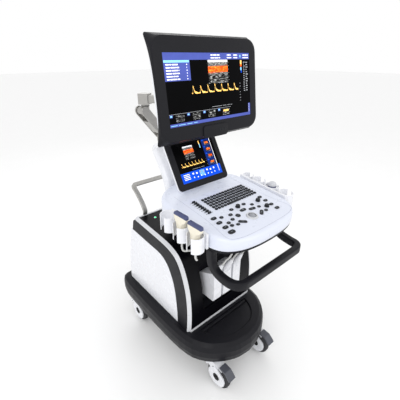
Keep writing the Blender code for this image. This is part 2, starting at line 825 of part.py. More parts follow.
def make_touch(white, black):
    """The touch screen is drawn upright and leans back about its hub."""
    origin = touch_hub()
    turn = (TOUCH_TILT - math.pi / 2, 0, 0)
    half_up = TOUCH_TALL / 2
    shift = Matrix.Translation((0, -TOUCH_HUB[0], -TOUCH_HUB[1]))

    def ring(inset, depth):
        outline = round_box(TOUCH_HALF - inset, half_up - inset, 0.016, 4, (0, half_up))
        return [(x, depth, z) for x, z in outline]

    face = loft([ring(0.002, 0.0), ring(0.0, 0.003), ring(0.0, 0.0090)])
    bezel = add("touch_bezel", placed(face, shift), black, origin, turn)
    screen = placed(box((-0.1095, -0.01, 0.026), (0.1095, 0.0010, 0.190)), shift)
    combine(bezel, add("touch_glass_cut", screen, None, origin, turn), "DIFFERENCE")
    rear = loft([ring(0.0, 0.0093), ring(0.0, 0.0180), ring(0.012, 0.0270)])
    shell = add("touch_shell", placed(rear, shift), white, origin, turn)
    hub = turned([(0.011, -TOUCH_HUB_HALF), (0.011, TOUCH_HUB_HALF)], 16, "x")
    combine(shell, add("touch_hub", hub, None, origin, turn), "UNION")
    lug = box((-TOUCH_HUB_HALF + 0.004, -0.020, -0.009), (TOUCH_HUB_HALF - 0.004, 0.0, 0.009))
    combine(shell, add("touch_lug", lug, None, origin, turn), "UNION")


# ---------------------------------------------------------------- arm and monitor


def upright_frame(origin, along):
    """A matrix with its X axis along a horizontal direction and its Z axis up."""
    along = Vector((along[0], along[1], 0)).normalized()
    across = Vector((0, 0, 1)).cross(along)
    columns = Matrix((along, across, Vector((0, 0, 1)))).transposed()
    return Matrix.Translation(origin) @ columns.to_4x4()


def make_arm(silver):
    """A lift link that keeps its elbow level, and a swivelling link to the monitor."""
    foot, elbow, swivel = Vector(ARM_FOOT), Vector(ELBOW), Vector(MONITOR_SWIVEL)
    low_pin, high_pin = arm_pins()
    along = high_pin - low_pin

    turret = add("arm_turret", placed(turned([(0.027, 0.0), (0.027, 0.012)], 20), Matrix.Translation(foot)), silver)
    lug = [(-0.014, 0.004)] + arc((0, low_pin.z - foot.z), 0.015, 0, 180, 6)[::-1] + [(0.014, 0.004)]
    turret_frame = upright_frame((low_pin.x, low_pin.y, foot.z), along)
    lug_obj = add("turret_lug", placed(prism(lug, -LUG_HALF, LUG_HALF, "y"), turret_frame), None)
    combine(turret, lug_obj, "UNION")

    span = along.length
    slope = upright_frame((0, 0, 0), along) @ Matrix.Rotation(-math.asin(along.z / span), 4, "Y")
    outline = [(x + span / 2, z) for x, z in stadium(span / 2, LINK_R, 0, 6)]
    near, far = LUG_HALF + 0.0005, LUG_HALF + 0.006
    link = add("lower_arm", placed(prism(outline, -far, -near, "y"), slope), silver, low_pin)
    combine(link, add("link_plate", placed(prism(outline, near, far, "y"), slope), None, low_pin), "UNION")
    web = box((0.034, -far + 0.002, -LINK_R + 0.001), (span - 0.046, far - 0.002, LINK_R - 0.012))
    combine(link, add("link_web", placed(web, slope), None, low_pin), "UNION")

    post = turned([(0.0165, high_pin.z - 0.020), (0.0165, elbow.z)], 20)
    post_obj = add("elbow_post", placed(post, Matrix.Translation((elbow.x, elbow.y, 0))), silver)
    reach = (Vector((high_pin.x, high_pin.y, 0)) - Vector((elbow.x, elbow.y, 0))).length
    tongue = arc((0, 0), 0.015, -90, 90, 6) + [(-reach, 0.015), (-reach, -0.015)]
    high_frame = upright_frame(high_pin, along)
    tongue_obj = add("elbow_tongue", placed(prism(tongue, -LUG_HALF, LUG_HALF, "y"), high_frame), None)
    combine(post_obj, tongue_obj, "UNION")

    middle = elbow.z + GAP + BLOCK_TALL / 2
    out = Vector((swivel.x - elbow.x, swivel.y - elbow.y, 0))
    upper_frame = upright_frame((elbow.x, elbow.y, middle), out)
    outline = round_box(BLOCK_HALF, BLOCK_HALF, 0.005, 2)
    block = loft([[(x, y, z) for x, y in outline] for z in (-BLOCK_TALL / 2, BLOCK_TALL / 2)])
    upper = add("upper_arm", placed(block, upper_frame), silver)
    bar = loft([[(x, y, z) for y, z in round_box(0.0165, 0.0155, 0.004, 2)] for x in (0.0, out.length - 0.010)])
    combine(upper, add("upper_bar", placed(bar, upper_frame), None), "UNION")
    eye = turned([(0.0215, -0.0165), (0.0215, 0.0165)], 20)
    combine(upper, add("upper_eye", placed(eye, upper_frame @ Matrix.Translation((out.length, 0, 0))), None), "UNION")

    low = middle + 0.0165 + GAP
    top = HEAD[2] + 0.0115
    head = turned([(0.0215, low), (0.0215, top)], 20)
    head_obj = add("monitor_head", placed(head, Matrix.Translation((swivel.x, swivel.y, 0))), silver)
    for sign in (-1, 1):
        low_x, high_x = sorted((sign * (HUB_HALF + 0.0005), sign * (HUB_HALF + 0.0075)))
        cheek = box((low_x, HEAD[1] - 0.012, HEAD[2] - 0.0115), (high_x, swivel.y, top))
        combine(head_obj, add("head_cheek_%d" % (sign + 1), cheek, None), "UNION")
    bridge = box((-HUB_HALF - 0.002, HEAD[1] + 0.016, HEAD[2] - 0.0105), (HUB_HALF + 0.002, swivel.y, top - 0.001))
    combine(head_obj, add("head_bridge", bridge, None), "UNION")


def arm_pins():
    """The lift link's two pin centres."""
    foot, elbow = Vector(ARM_FOOT), Vector(ELBOW)
    flat = Vector((elbow.x - foot.x, elbow.y - foot.y, 0)).normalized()
    return foot + flat * 0.032 + Vector((0, 0, 0.034)), elbow + flat * 0.018 - Vector((0, 0, 0.0245))


def make_monitor(white, black):
    """The monitor is built about the middle of its front face, with +Y to its rear."""
    origin = Vector(HEAD)
    turn = (-MONITOR_TILT, 0, 0)
    middle = Matrix.Rotation(MONITOR_TILT, 3, "X") @ (Vector(MONITOR) - origin)
    shift = Matrix.Translation(middle)

    def ring(inset, depth, radius, swept=0.0, flare=0.0):
        """The face's outline; swept and flare carry its top and bottom to the rear and outwards."""
        found = []
        for x, z in divided(round_box(BEZEL_HALF - inset, BEZEL_UP - inset, radius, 5), 0.10, 10):
            share = abs(z / BEZEL_UP) ** 3
            found.append((x, depth + swept * share, z + math.copysign(flare * share, z)))
        return found

    shell = [ring(0.004, 0.0, 0.045), ring(0.0, 0.004, 0.045), ring(0.0, 0.0065, 0.032, 0.012, 0.003)]
    shell += [ring(0.0, 0.0080, 0.010, 0.029, 0.011)]
    bezel = add("monitor_bezel", placed(loft(shell), shift), black, origin, turn)
    cavity = loft([ring(0.006, 0.0060, 0.036), ring(0.006, 0.060, 0.036)])
    combine(bezel, add("bezel_cavity", placed(cavity, shift), None, origin, turn), "DIFFERENCE")
    pane = prism(round_box(SCREEN[0] / 2, SCREEN[1] / 2, 0.001, 1), -0.01, 0.0012, "y")
    combine(bezel, add("screen_recess", placed(pane, shift), None, origin, turn), "DIFFERENCE")
    grip = prism(round_box(0.062, 0.0225, 0.012, 3, (0, -0.1495)), -0.005, 0.0050, "y")
    combine(bezel, add("bezel_grip", placed(grip, shift), None, origin, turn), "UNION")

    rear = [ring(0.0064, 0.0063, 0.0355), ring(0.0085, 0.030, 0.034)]
    rear += [ring(0.030, 0.044, 0.028), ring(0.075, 0.051, 0.020)]
    back = add("monitor_back", placed(loft(rear), shift), white, origin, turn)
    hub = add("monitor_hub", turned([(0.0105, -HUB_HALF), (0.0105, HUB_HALF)], 16, "x"), None, origin, turn)
    neck = box((-HUB_HALF + 0.001, -0.030, -0.010), (HUB_HALF - 0.001, 0.0, 0.010))
    combine(back, hub, "UNION")
    combine(back, add("monitor_lug", neck, None, origin, turn), "UNION")


# ---------------------------------------------------------------- assembly


def main():
    clear_scene()
    white = paint("white_shell", (0.86, 0.87, 0.90), 0.32)
    black = paint("black_shell", (0.028, 0.028, 0.032), 0.42)
    gloss = paint("gloss_fascia", (0.006, 0.006, 0.008), 0.10)
    silver = paint("silver_trim", (0.70, 0.71, 0.74), 0.28, 1.0)
    steel = paint("steel", (0.45, 0.46, 0.48), 0.45, 1.0)
    tyre = paint("tyre", (0.020, 0.020, 0.022), 0.70)
    grey = paint("grey_plastic", (0.10, 0.11, 0.13), 0.45)
    pale = paint("pale_grey_plastic", (0.52, 0.53, 0.54), 0.35)
    cream = paint("probe_cream", (0.80, 0.77, 0.68), 0.35)
    key = paint("key_black", (0.016, 0.016, 0.020), 0.50)

    make_base(black)
    make_sides(white, black)
    make_trim(silver)
    fascia_outer = make_fascia(gloss)
    make_port_panel(black, fascia_outer)
    make_rear(black, steel)
    make_rear_handle(silver)
    make_casters(white, tyre, grey)
    frame = make_console(white, black)
    make_column(frame, fascia_outer)
    make_neck(white, fascia_outer)
    make_front_handle(black)
    cups = [(y, CUP_R) for y in reversed(CUP_Y)]
    make_holder("left_holder", -1, cups, white)
    make_holder("right_holder", 1, [(RING_Y, RING_R)] + cups, white)
    make_keys(key)
    make_controls(key, pale)
    make_rack(black)
    make_probes(cream, white, pale)
    make_touch(white, black)
    make_arm(silver)
    make_monitor(white, black)


main()
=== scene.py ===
"""The looks of the trolley ultrasound scanner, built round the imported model.

Units are metres, +Z is up and the operator stands at -Y. Pieces that repeat a CAD part's place use
the same named sizes as the part.
"""

import json
import math
import random

import bmesh
import bpy
from mathutils import Matrix, Vector

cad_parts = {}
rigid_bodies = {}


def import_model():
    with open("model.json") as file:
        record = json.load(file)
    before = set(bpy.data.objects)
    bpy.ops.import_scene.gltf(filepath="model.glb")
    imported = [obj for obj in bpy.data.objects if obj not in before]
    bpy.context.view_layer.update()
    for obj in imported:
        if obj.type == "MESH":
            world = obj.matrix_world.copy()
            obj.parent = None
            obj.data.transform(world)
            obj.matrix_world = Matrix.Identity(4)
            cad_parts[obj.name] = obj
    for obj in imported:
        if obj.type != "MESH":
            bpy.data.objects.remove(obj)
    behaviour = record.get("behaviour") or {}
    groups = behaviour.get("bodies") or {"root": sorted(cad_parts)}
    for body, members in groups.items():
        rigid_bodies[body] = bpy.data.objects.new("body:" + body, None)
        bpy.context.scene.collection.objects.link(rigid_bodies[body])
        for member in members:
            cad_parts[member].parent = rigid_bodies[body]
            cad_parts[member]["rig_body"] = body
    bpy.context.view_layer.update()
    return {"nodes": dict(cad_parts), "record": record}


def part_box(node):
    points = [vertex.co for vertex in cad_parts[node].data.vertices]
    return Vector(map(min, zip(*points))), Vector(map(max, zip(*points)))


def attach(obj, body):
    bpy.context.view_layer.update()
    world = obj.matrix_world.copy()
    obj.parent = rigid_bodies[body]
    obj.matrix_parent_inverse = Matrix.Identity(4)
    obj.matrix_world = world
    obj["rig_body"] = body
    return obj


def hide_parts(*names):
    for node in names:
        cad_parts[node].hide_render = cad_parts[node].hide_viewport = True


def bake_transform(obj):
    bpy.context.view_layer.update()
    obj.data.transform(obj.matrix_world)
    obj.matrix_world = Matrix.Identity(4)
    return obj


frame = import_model()

GAP = 0.0003

# Trolley
BASE_TOP = 0.250
BASE_RISE = 0.020
BASE_FRONT = -0.345
RACK_Y = -0.215
RACK_HALF = 0.100
TURN_R = 0.0437
RACK_BOTTOM = 0.704

# Casters
WHEEL_R = 0.0625
WHEEL_W = 0.027
TRAIL = 0.045
STEMS = {"front": (0.138, -0.240), "rear": (0.196, 0.335)}

# Console
DECK_Y = -0.101
DECK_Z = 0.858
DECK_SLOPE = math.radians(6.0)
CONSOLE_HALF = 0.217
CONSOLE_BOTTOM = 0.785
TRAY_BOTTOM = 0.768
BALL = (-0.007, -0.294)
BALL_R = 0.0185
BALL_SINK = 0.0095
KNOBS = ((-0.0045, -0.220), (0.0990, -0.2345), (0.0945, -0.2825))
KEYBOARD = (0.0285, -0.1455)
KEYBOARD_HALF = (0.1200, 0.0465)
SLIDER_X = -0.1245
SLIDER_Y = -0.1000
SLIDER_PITCH = 0.0128
HANDLE_HALF = 0.190
CUP_X = 0.255
CUP_Y = (-0.262, -0.189, -0.116)
CUP_BOTTOM = 0.796
TAIL = 0.018
HEAD_DOME = 0.009
HEAD_THICK = 0.0085
HEAD_HALF = 0.0335
HEAD_TOP = 0.087
GRIP_THICK = 0.0145

# Probe cables
CONNECTOR_X = (-0.068, -0.009, 0.050)
BELL_FOOT = (-0.176, 0.530)
BELL_LEAN = math.radians(28)
BELL_LENGTH = 0.080
CABLE_D = 0.0075
CABLE_PITCH = 0.0086
CABLE_CLIMB = 2 * CABLE_PITCH * 0.8

# Screens
TOUCH_TILT = math.radians(60.0)
TOUCH_LOW = (-0.038, 0.884)
MONITOR = (0.0, -0.066, 1.265)
MONITOR_TILT = math.radians(7.3)
SCREEN = (0.408, 0.2295)
BEZEL_HALF = 0.242
BEZEL_UP = 0.164

# Arm
ELBOW = (-0.1135, 0.214)


# ---- camera, light and floor


def make_camera():
    data = bpy.data.cameras.new("camera")
    data.lens = 26.98
    data.sensor_width = 36
    camera = bpy.data.objects.new("camera", data)
    camera.location = (-0.7919, -0.8915, 1.3689)
    camera.rotation_euler = (math.radians(90 - 25.71), 0, -math.radians(41.51))
    bpy.context.scene.collection.objects.link(camera)
    bpy.context.scene.camera = camera


def make_light(name, place, aim, size, power):
    data = bpy.data.lights.new(name, "AREA")
    data.shape = "DISK"
    data.size = size
    data.energy = power
    light = bpy.data.objects.new(name, data)
    light.location = place
    light.rotation_euler = (Vector(aim) - Vector(place)).to_track_quat("-Z", "Y").to_euler()
    bpy.context.scene.collection.objects.link(light)


def make_studio():
    world = bpy.data.worlds.new("studio")
    world.use_nodes = True
    background = world.node_tree.nodes["Background"]
    background.inputs["Color"].default_value = (1.0, 1.0, 1.0, 1.0)
    background.inputs["Strength"].default_value = 1.0
    bpy.context.scene.world = world
    bpy.context.scene.view_settings.view_transform = "Standard"
    make_light("key_light", (-2.4, -1.6, 3.0), (0, 0, 0.7), 2.2, 30)
    make_light("front_light", (0.8, -3.2, 2.0), (0, -0.1, 0.7), 2.4, 12)
    make_light("rear_light", (1.6, 2.8, 2.6), (0, 0, 0.9), 2.0, 10)

    floor = bpy.data.objects.new("floor", grid_mesh("floor", 30.0, 6))
    bpy.context.scene.collection.objects.link(floor)
    floor.data.materials.append(mottled("floor_paint", (0.94, 0.94, 0.94), 0.80, 0.01, 4.0))


def grid_mesh(name, half, cells):
    bm = bmesh.new()
    bmesh.ops.create_grid(bm, x_segments=cells, y_segments=cells, size=half)
    mesh = bpy.data.meshes.new(name)
    bm.to_mesh(mesh)
    bm.free()
    return mesh


# ---- materials


class Finish:
    """A material with a Principled shader, whose other nodes are added one at a time."""

    def __init__(self, name, **constants):
        self.material = bpy.data.materials.new(name)
        self.material.use_nodes = True
        self.tree = self.material.node_tree
        self.shader = self.tree.nodes["Principled BSDF"]
        for socket, value in constants.items():
            self.shader.inputs[socket.replace("_", " ")].default_value = value

    def node(self, kind, inputs=(), **settings):
        node = self.tree.nodes.new("ShaderNode" + kind)
        for key, value in settings.items():
            setattr(node, key, value)
        for socket, value in dict(inputs).items():
            if isinstance(value, bpy.types.NodeSocket):
                self.tree.links.new(value, node.inputs[socket])
            else:
                node.inputs[socket].default_value = value
        return node

    def feed(self, socket, output):
        self.tree.links.new(output, self.shader.inputs[socket])

    def place(self, stretch=(1, 1, 1)):
        """Coordinates in the piece's own space, in metres, scaled along each axis."""
        where = self.node("TexCoord").outputs["Object"]
        if stretch == (1, 1, 1):
            return where
        return self.node("Mapping", {"Vector": where, "Scale": stretch}).outputs["Vector"]

    def noise(self, scale, detail=3.0, stretch=(1, 1, 1), rough=0.5):
        inputs = {"Vector": self.place(stretch), "Scale": scale, "Detail": detail, "Roughness": rough}
        return self.node("TexNoise", inputs).outputs["Fac"]

    def spread(self, value, low, high):
        """A value of 0 to 1 carried to low to high; noise gathers round the middle, so its ends are cut."""
        inputs = {"Value": value, "From Min": 0.3, "From Max": 0.7, "To Min": low, "To Max": high}
        return self.node("MapRange", inputs).outputs["Result"]

    def ramp(self, value, stops):
        node = self.node("ValToRGB", {"Fac": value})
        points = node.color_ramp.elements
        while len(points) < len(stops):
            points.new(0.5)
        for point, (place, colour) in zip(points, stops):
            point.position = place
            point.color = (*colour, 1.0)
        return node.outputs["Color"]

    def bump(self, height, depth, strength=1.0):
        inputs = {"Height": height, "Distance": depth, "Strength": strength}
        self.feed("Normal", self.node("Bump", inputs).outputs["Normal"])


def tint(colour, share):
    return tuple(min(1.0, c * share) for c in colour)


def mottled(name, colour, roughness, mottle, scale):
    finish = Finish(name, Roughness=roughness)
    cloud = finish.noise(scale, 4.0)
    stops = ((0.3, tint(colour, 1 - mottle)), (0.7, colour))
    finish.feed("Base Color", finish.ramp(cloud, stops))
    finish.bump(finish.noise(160.0, 2.0), 0.0004, 0.3)
    return finish.material


def plastic(name, colour, roughness, grain, depth, coat=0.0, shade=0.10, mirror=0.5):
    """Moulded plastic: a fine surface grain, faint clouding, and patches handled smooth or dusty."""
    finish = Finish(name, Coat_Weight=coat, Coat_Roughness=0.08, Specular_IOR_Level=mirror)
    cloud = finish.noise(9.0, 5.0)
    finish.feed("Base Color", finish.ramp(cloud, ((0.32, tint(colour, 1 - shade)), (0.68, colour))))
    finish.feed("Roughness", finish.spread(finish.noise(26.0, 5.0), roughness - 0.05, roughness + 0.07))
    finish.bump(finish.noise(grain, 2.0), depth)
    return finish.material


def leathered(name, colour, roughness, cell, depth, pale=1.25):
    """Graphite plastic with a pebbled grain, paler on the pebbles."""
    finish = Finish(name, IOR=1.46, Specular_IOR_Level=0.18)
    inputs = {"Vector": finish.place(), "Scale": cell, "Randomness": 1.0}
    pebble = finish.node("TexVoronoi", inputs, feature="SMOOTH_F1").outputs["Distance"]
    mix = finish.node("Math", {0: pebble, 1: finish.noise(14.0, 5.0)}, operation="MULTIPLY").outputs[0]
    finish.feed("Base Color", finish.ramp(mix, ((0.05, tint(colour, pale)), (0.45, colour))))
    finish.feed("Roughness", finish.spread(finish.noise(20.0, 5.0), roughness - 0.06, roughness + 0.08))
    finish.bump(pebble, depth, 0.8)
    return finish.material


def brushed(name, colour, roughness, stretch, metallic=1.0):
    """Drawn metal or a metallic paint: fine streaks along one axis."""
    finish = Finish(name, Metallic=metallic)
    streak = finish.noise(1.0, 4.0, stretch, 0.65)
    finish.feed("Base Color", finish.ramp(streak, ((0.3, tint(colour, 0.86)), (0.7, tint(colour, 1.06)))))
    finish.feed("Roughness", finish.spread(streak, roughness - 0.06, roughness + 0.10))
    finish.bump(streak, 0.00004, 0.6)
    return finish.material


def rubber(name, colour):
    finish = Finish(name, IOR=1.5)
    dust = finish.noise(34.0, 6.0)
    finish.feed("Base Color", finish.ramp(dust, ((0.35, colour), (0.75, tint(colour, 2.4)))))
    finish.feed("Roughness", finish.spread(dust, 0.62, 0.86))
    finish.bump(finish.noise(1400.0, 2.0), 0.0001, 0.7)
    return finish.material


def lit(name, stops, scale, strength=1.0, stretch=(1, 1, 1), detail=4.0, rough=0.6):
    """A glowing part of a display, coloured by noise, behind a glossy glass."""
    finish = Finish(name, Roughness=0.30, Emission_Strength=strength, Specular_IOR_Level=0.04)
    colour = finish.ramp(finish.noise(scale, detail, stretch, rough), stops)
    finish.feed("Base Color", colour)
    finish.feed("Emission Color", colour)
    return finish.material


def steady(name, colour, strength=1.0):
    """One display colour, with the faint unevenness of its backlight."""
    stops = ((0.3, tint(colour, 0.84)), (0.7, colour))
    return lit(name, stops, 22.0, strength)


def make_finishes():
    white = (0.80, 0.81, 0.85)
    graphite = (0.0085, 0.0085, 0.0110)
    return {
        "white_shell": plastic("white_shell_paint", white, 0.26, 700.0, 0.00003, 0.35, 0.014),
        "black_shell": leathered("black_shell_grain", graphite, 0.40, 900.0, 0.00010),
        "gloss_fascia": plastic(
            "gloss_fascia_lacquer", (0.002, 0.002, 0.0035), 0.32, 90.0, 0.00001, 0.0, 0.3, 0.10
        ),
        "silver_trim": brushed("silver_trim_satin", (0.66, 0.66, 0.67), 0.30, (40, 40, 2200)),
        "steel": brushed("sheet_steel", (0.42, 0.43, 0.45), 0.42, (30, 1500, 1500)),
        "tyre": rubber("tyre_rubber", (0.016, 0.016, 0.018)),
        "grey_plastic": plastic("grey_plastic_grain", (0.075, 0.080, 0.100), 0.42, 1100.0, 0.00006),
        "pale_grey_plastic": plastic("pale_grey_satin", (0.60, 0.61, 0.64), 0.30, 900.0, 0.00003, 0.2),
        "probe_cream": plastic("probe_cream_satin", (0.84, 0.79, 0.66), 0.30, 900.0, 0.00003, 0.3, 0.05),
        "key_black": plastic("key_soft_touch", (0.008, 0.010, 0.014), 0.46, 1500.0, 0.00005, 0.0, 0.25, 0.3),
    }


def make_extras():
    """Finishes of small details, beyond the record's slots."""
    black, white = (0.0003, 0.0003, 0.0005), (0.95, 0.96, 1.0)
    speckle = ((0.42, (0.004, 0.004, 0.004)), (0.56, (0.22, 0.22, 0.21)), (0.70, (0.95, 0.95, 0.92)))
    tissue = ((0.47, (0.002, 0.002, 0.002)), (0.57, (0.10, 0.10, 0.10)), (0.72, (0.75, 0.76, 0.74)))
    flow = ((0.36, (0.62, 0.03, 0.01)), (0.52, (0.95, 0.12, 0.01)), (0.70, (1.0, 0.42, 0.05)))
    trace = ((0.35, (0.75, 0.28, 0.03)), (0.52, (1.0, 0.62, 0.12)), (0.70, (1.0, 0.93, 0.62)))
    return {
        "display_off": lit("display_black", ((0.3, black), (0.7, tint(black, 1.8))), 30.0, 0.1),
        "violet": steady("display_violet", (0.060, 0.080, 0.30), 0.95),
        "cyan": steady("display_cyan", (0.26, 0.62, 0.85), 0.75),
        "white": steady("display_white", white, 0.8),
        "dim": steady("display_grey", (0.38, 0.39, 0.41), 0.5),
        "bright_blue": steady("display_blue", (0.004, 0.060, 0.55), 0.9),
        "deep_blue": steady("display_deep_blue", (0.005, 0.020, 0.15), 0.7),
        "speckle": lit("display_near_tissue", speckle, 1.0, 0.55, (160, 160, 900)),
        "tissue": lit("display_far_tissue", tissue, 1.0, 0.55, (90, 90, 420)),
        "flow": lit("display_flow", flow, 1.0, 0.75, (70, 70, 200)),
        "trace": lit("display_trace", trace, 420.0, 0.8),
        "led": steady("led_green", (0.02, 0.75, 0.28), 1.6),
        # Painted shade: a darker deck colour for the groove round the control panel.
        "seam_groove_shade": plastic("seam_shadow", (0.40, 0.42, 0.52), 0.5, 900.0, 0.00003),
        "rim": plastic("key_rim_grey", (0.50, 0.51, 0.56), 0.36, 1200.0, 0.00003),
        "mark": plastic("key_mark_pale", (0.34, 0.37, 0.42), 0.5, 1500.0, 0.00002),
        "lens": plastic("lens_blue_grey", (0.055, 0.068, 0.170), 0.40, 500.0, 0.00004),
        "deck": plastic("deck_lavender", (0.70, 0.735, 0.84), 0.30, 700.0, 0.00003, 0.25, 0.012),
        "cable": plastic("cable_vinyl", (0.62, 0.62, 0.61), 0.38, 1300.0, 0.00004, 0.1),
        "arm": brushed("arm_cast_alloy", (0.44, 0.43, 0.41), 0.38, (60, 60, 700), 0.85),
        "trim": plastic("trim_pearl", (0.66, 0.67, 0.70), 0.30, 900.0, 0.00003, 0.2, 0.015),
        "ball": plastic("ball_grey", (0.30, 0.31, 0.34), 0.22, 900.0, 0.00001, 0.4, 0.05),
        # The hub caps' own black, and painted shade in the slider slots, vents, release slots and the
        # elbow's ring gap.
        "dark": plastic("black_and_recess_shade", (0.003, 0.003, 0.004), 0.55, 800.0, 0.00005, 0.0, 0.2, 0.2),
    }


# ---- shapes


def arc(centre, radius, start, end, steps):
    found = []
    for i in range(steps + 1):
        angle = math.radians(start + (end - start) * i / steps)
        found.append((centre[0] + radius * math.cos(angle), centre[1] + radius * math.sin(angle)))
    return found


def round_box(half_x, half_y, radius, steps=4, centre=(0, 0)):
    found = []
    for quarter, (sx, sy) in enumerate(((1, 1), (-1, 1), (-1, -1), (1, -1))):
        corner = (centre[0] + sx * (half_x - radius), centre[1] + sy * (half_y - radius))
        found += arc(corner, radius, 90 * quarter, 90 * quarter + 90, steps)
    return found


def smooth(points, steps=4):
    """An open Catmull-Rom curve through points of any dimension."""
    vectors = [Vector(point) for point in points]
    found = []
    for i in range(len(vectors) - 1):
        b, c = vectors[i], vectors[i + 1]
        a = vectors[i - 1] if i else b * 2 - c
        d = vectors[i + 2] if i + 2 < len(vectors) else c * 2 - b
        for k in range(steps):
            t = k / steps
            square, cube = a * 2 - b * 5 + c * 4 - d, b * 3 - a - c * 3 + d
            found.append((b * 2 + (c - a) * t + square * t**2 + cube * t**3) / 2)
    found.append(vectors[-1])
    return [tuple(v) for v in found]


def mirrored(half):
    return half + [(-x, y) for x, y in reversed(half) if x > 1e-6]


def shrunk(outline, distance):
    found = []
    count = len(outline)
    for i, point in enumerate(outline):
        along = (Vector(outline[(i + 1) % count]) - Vector(outline[i - 1])).normalized()
        found.append((point[0] - along.y * distance, point[1] + along.x * distance))
    return found


def join_rings(bm, rings, caps=True):
    """Adds rings of equally many points to a mesh, joined one to the next, and gives their vertices."""
    loops = [[bm.verts.new(point) for point in ring] for ring in rings]
    count = len(rings[0])
    for low, high in zip(loops, loops[1:]):
        for i in range(count):
            j = (i + 1) % count
            bm.faces.new((low[i], low[j], high[j], high[i]))
    if caps:
        bm.faces.new(reversed(loops[0]))
        bm.faces.new(loops[-1])
    return loops


def loft(rings):
    bm = bmesh.new()
    join_rings(bm, rings)
    return bm


def turned_rings(profile, steps):
    rings = []
    for radius, height in profile:
        turn = [2 * math.pi * i / steps for i in range(steps)]
        rings.append([(radius * math.cos(a), radius * math.sin(a), height) for a in turn])
    return rings


def sweep_rings(path, section):
    points = [Vector(point) for point in path]
    rings = []
    side = None
    for i, point in enumerate(points):
        along = (points[min(i + 1, len(points) - 1)] - points[max(i - 1, 0)]).normalized()
        if side is None:
            side = Vector((1, 0, 0)) if abs(along.z) > 0.9 else along.orthogonal().normalized()
        side = (side - along * side.dot(along)).normalized()
        up = side.cross(along)
        rings.append([tuple(point + side * a + up * b) for a, b in section])
    return rings


def moved(rings, matrix):
    return [[tuple(matrix @ Vector(point)) for point in ring] for ring in rings]


def piece(name, bm, body, finish, replaces=(), crease=35):
    """A new piece that rides on a body. finish is one material or a list of them."""
    bmesh.ops.recalc_face_normals(bm, faces=bm.faces)
    mesh = bpy.data.meshes.new(name)
    bm.to_mesh(mesh)
    bm.free()
    for material in finish if isinstance(finish, list) else [finish]:
        mesh.materials.append(material)
    mesh.shade_smooth()
    mesh.set_sharp_from_angle(angle=math.radians(crease))
    obj = bpy.data.objects.new(name, mesh)
    bpy.context.scene.collection.objects.link(obj)
    if body:
        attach(obj, body)
    if replaces:
        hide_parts(*replaces)
    return obj


def collar(name, ring, steps, place, body, finish, crease=50):
    """A ring turned from an open profile."""
    bm = bmesh.new()
    join_rings(bm, moved(turned_rings(ring, steps), place), caps=False)
    piece(name, bm, body, finish, crease=crease)


def softened(node, width, segments=2, material=None, angle=30):
    """A copy of a CAD node with its edges rounded, shown in its place."""
    source = frame["nodes"][node]
    bm = bmesh.new()
    bm.from_mesh(source.data)
    bmesh.ops.remove_doubles(bm, verts=bm.verts, dist=2e-6)
    bmesh.ops.dissolve_limit(bm, angle_limit=math.radians(0.6), verts=bm.verts, edges=bm.edges)
    slot = SLOT_OF[node]
    body = source["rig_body"]
    obj = piece(node + "_rounded", bm, body, material or finishes[slot], (node,), angle)
    bevel = obj.modifiers.new("edges", "BEVEL")
    bevel.width = width
    bevel.segments = segments
    bevel.limit_method = "ANGLE"
    bevel.angle_limit = math.radians(angle)
    normals = obj.modifiers.new("normals", "WEIGHTED_NORMAL")
    normals.keep_sharp = False
    return obj


def base_top(y):
    return BASE_TOP + BASE_RISE * (y - BASE_FRONT)


def deck(y):
    return DECK_Z + math.tan(DECK_SLOPE) * (y - DECK_Y)


def cup_foot(y):
    return CUP_BOTTOM + math.tan(DECK_SLOPE) * (y - CUP_Y[1])


def on_deck(x, y, turn=0.0):
    """A frame on the deck at a place given in plan, turned about the deck's normal."""
    tilt = Matrix.Rotation(DECK_SLOPE, 4, "X")
    return Matrix.Translation((x, y, deck(y))) @ tilt @ Matrix.Rotation(math.radians(turn), 4, "Z")


def on_monitor(x=0.0, depth=0.0, up=0.0):
    """A frame on the monitor's face: X to the right, Y to its rear, Z up the face."""
    lean = Matrix.Rotation(-MONITOR_TILT, 4, "X")
    return Matrix.Translation(MONITOR) @ lean @ Matrix.Translation((x, depth, up))


def on_touch(x=0.0, depth=0.0, up=0.0):
    """A frame on the touch screen's face, from the middle of its lower edge."""
    lean = Matrix.Rotation(TOUCH_TILT - math.pi / 2, 4, "X")
    return Matrix.Translation((0, *TOUCH_LOW)) @ lean @ Matrix.Translation((x, depth, up))


FACE_OUT = Matrix.Rotation(math.pi / 2, 4, "X")  # turns a shape's +Z to point out of a face, to -Y


# ---- probe cables


def bell_end(x):
    reach = BELL_LENGTH + GAP
    return (x, BELL_FOOT[0] - reach * math.sin(BELL_LEAN), BELL_FOOT[1] + reach * math.cos(BELL_LEAN))


def winding(begin, start_z, side):
    """Nearly two turns round the cable rack, from its front run to its rear run."""
    radius, half = TURN_R, RACK_HALF
    turns = (0.0, 0.785, 1.571, 2.356, 3.142)
    right = [(half + radius * math.sin(a), -radius * math.cos(a)) for a in turns]
    left = [(-x, -y) for x, y in right]
    front = [(-half * 0.45, -radius), (half * 0.45, -radius)]
    rear = [(half * 0.45, radius), (-half * 0.45, radius)]
    stations = [spot for spot in front if spot[0] > begin] + right + rear + left + front + right + rear
    found = []
    for i, (x, y) in enumerate(stations):
        found.append((side * x, RACK_Y + y, start_z + CABLE_CLIMB * i / (len(stations) - 1)))
    return found


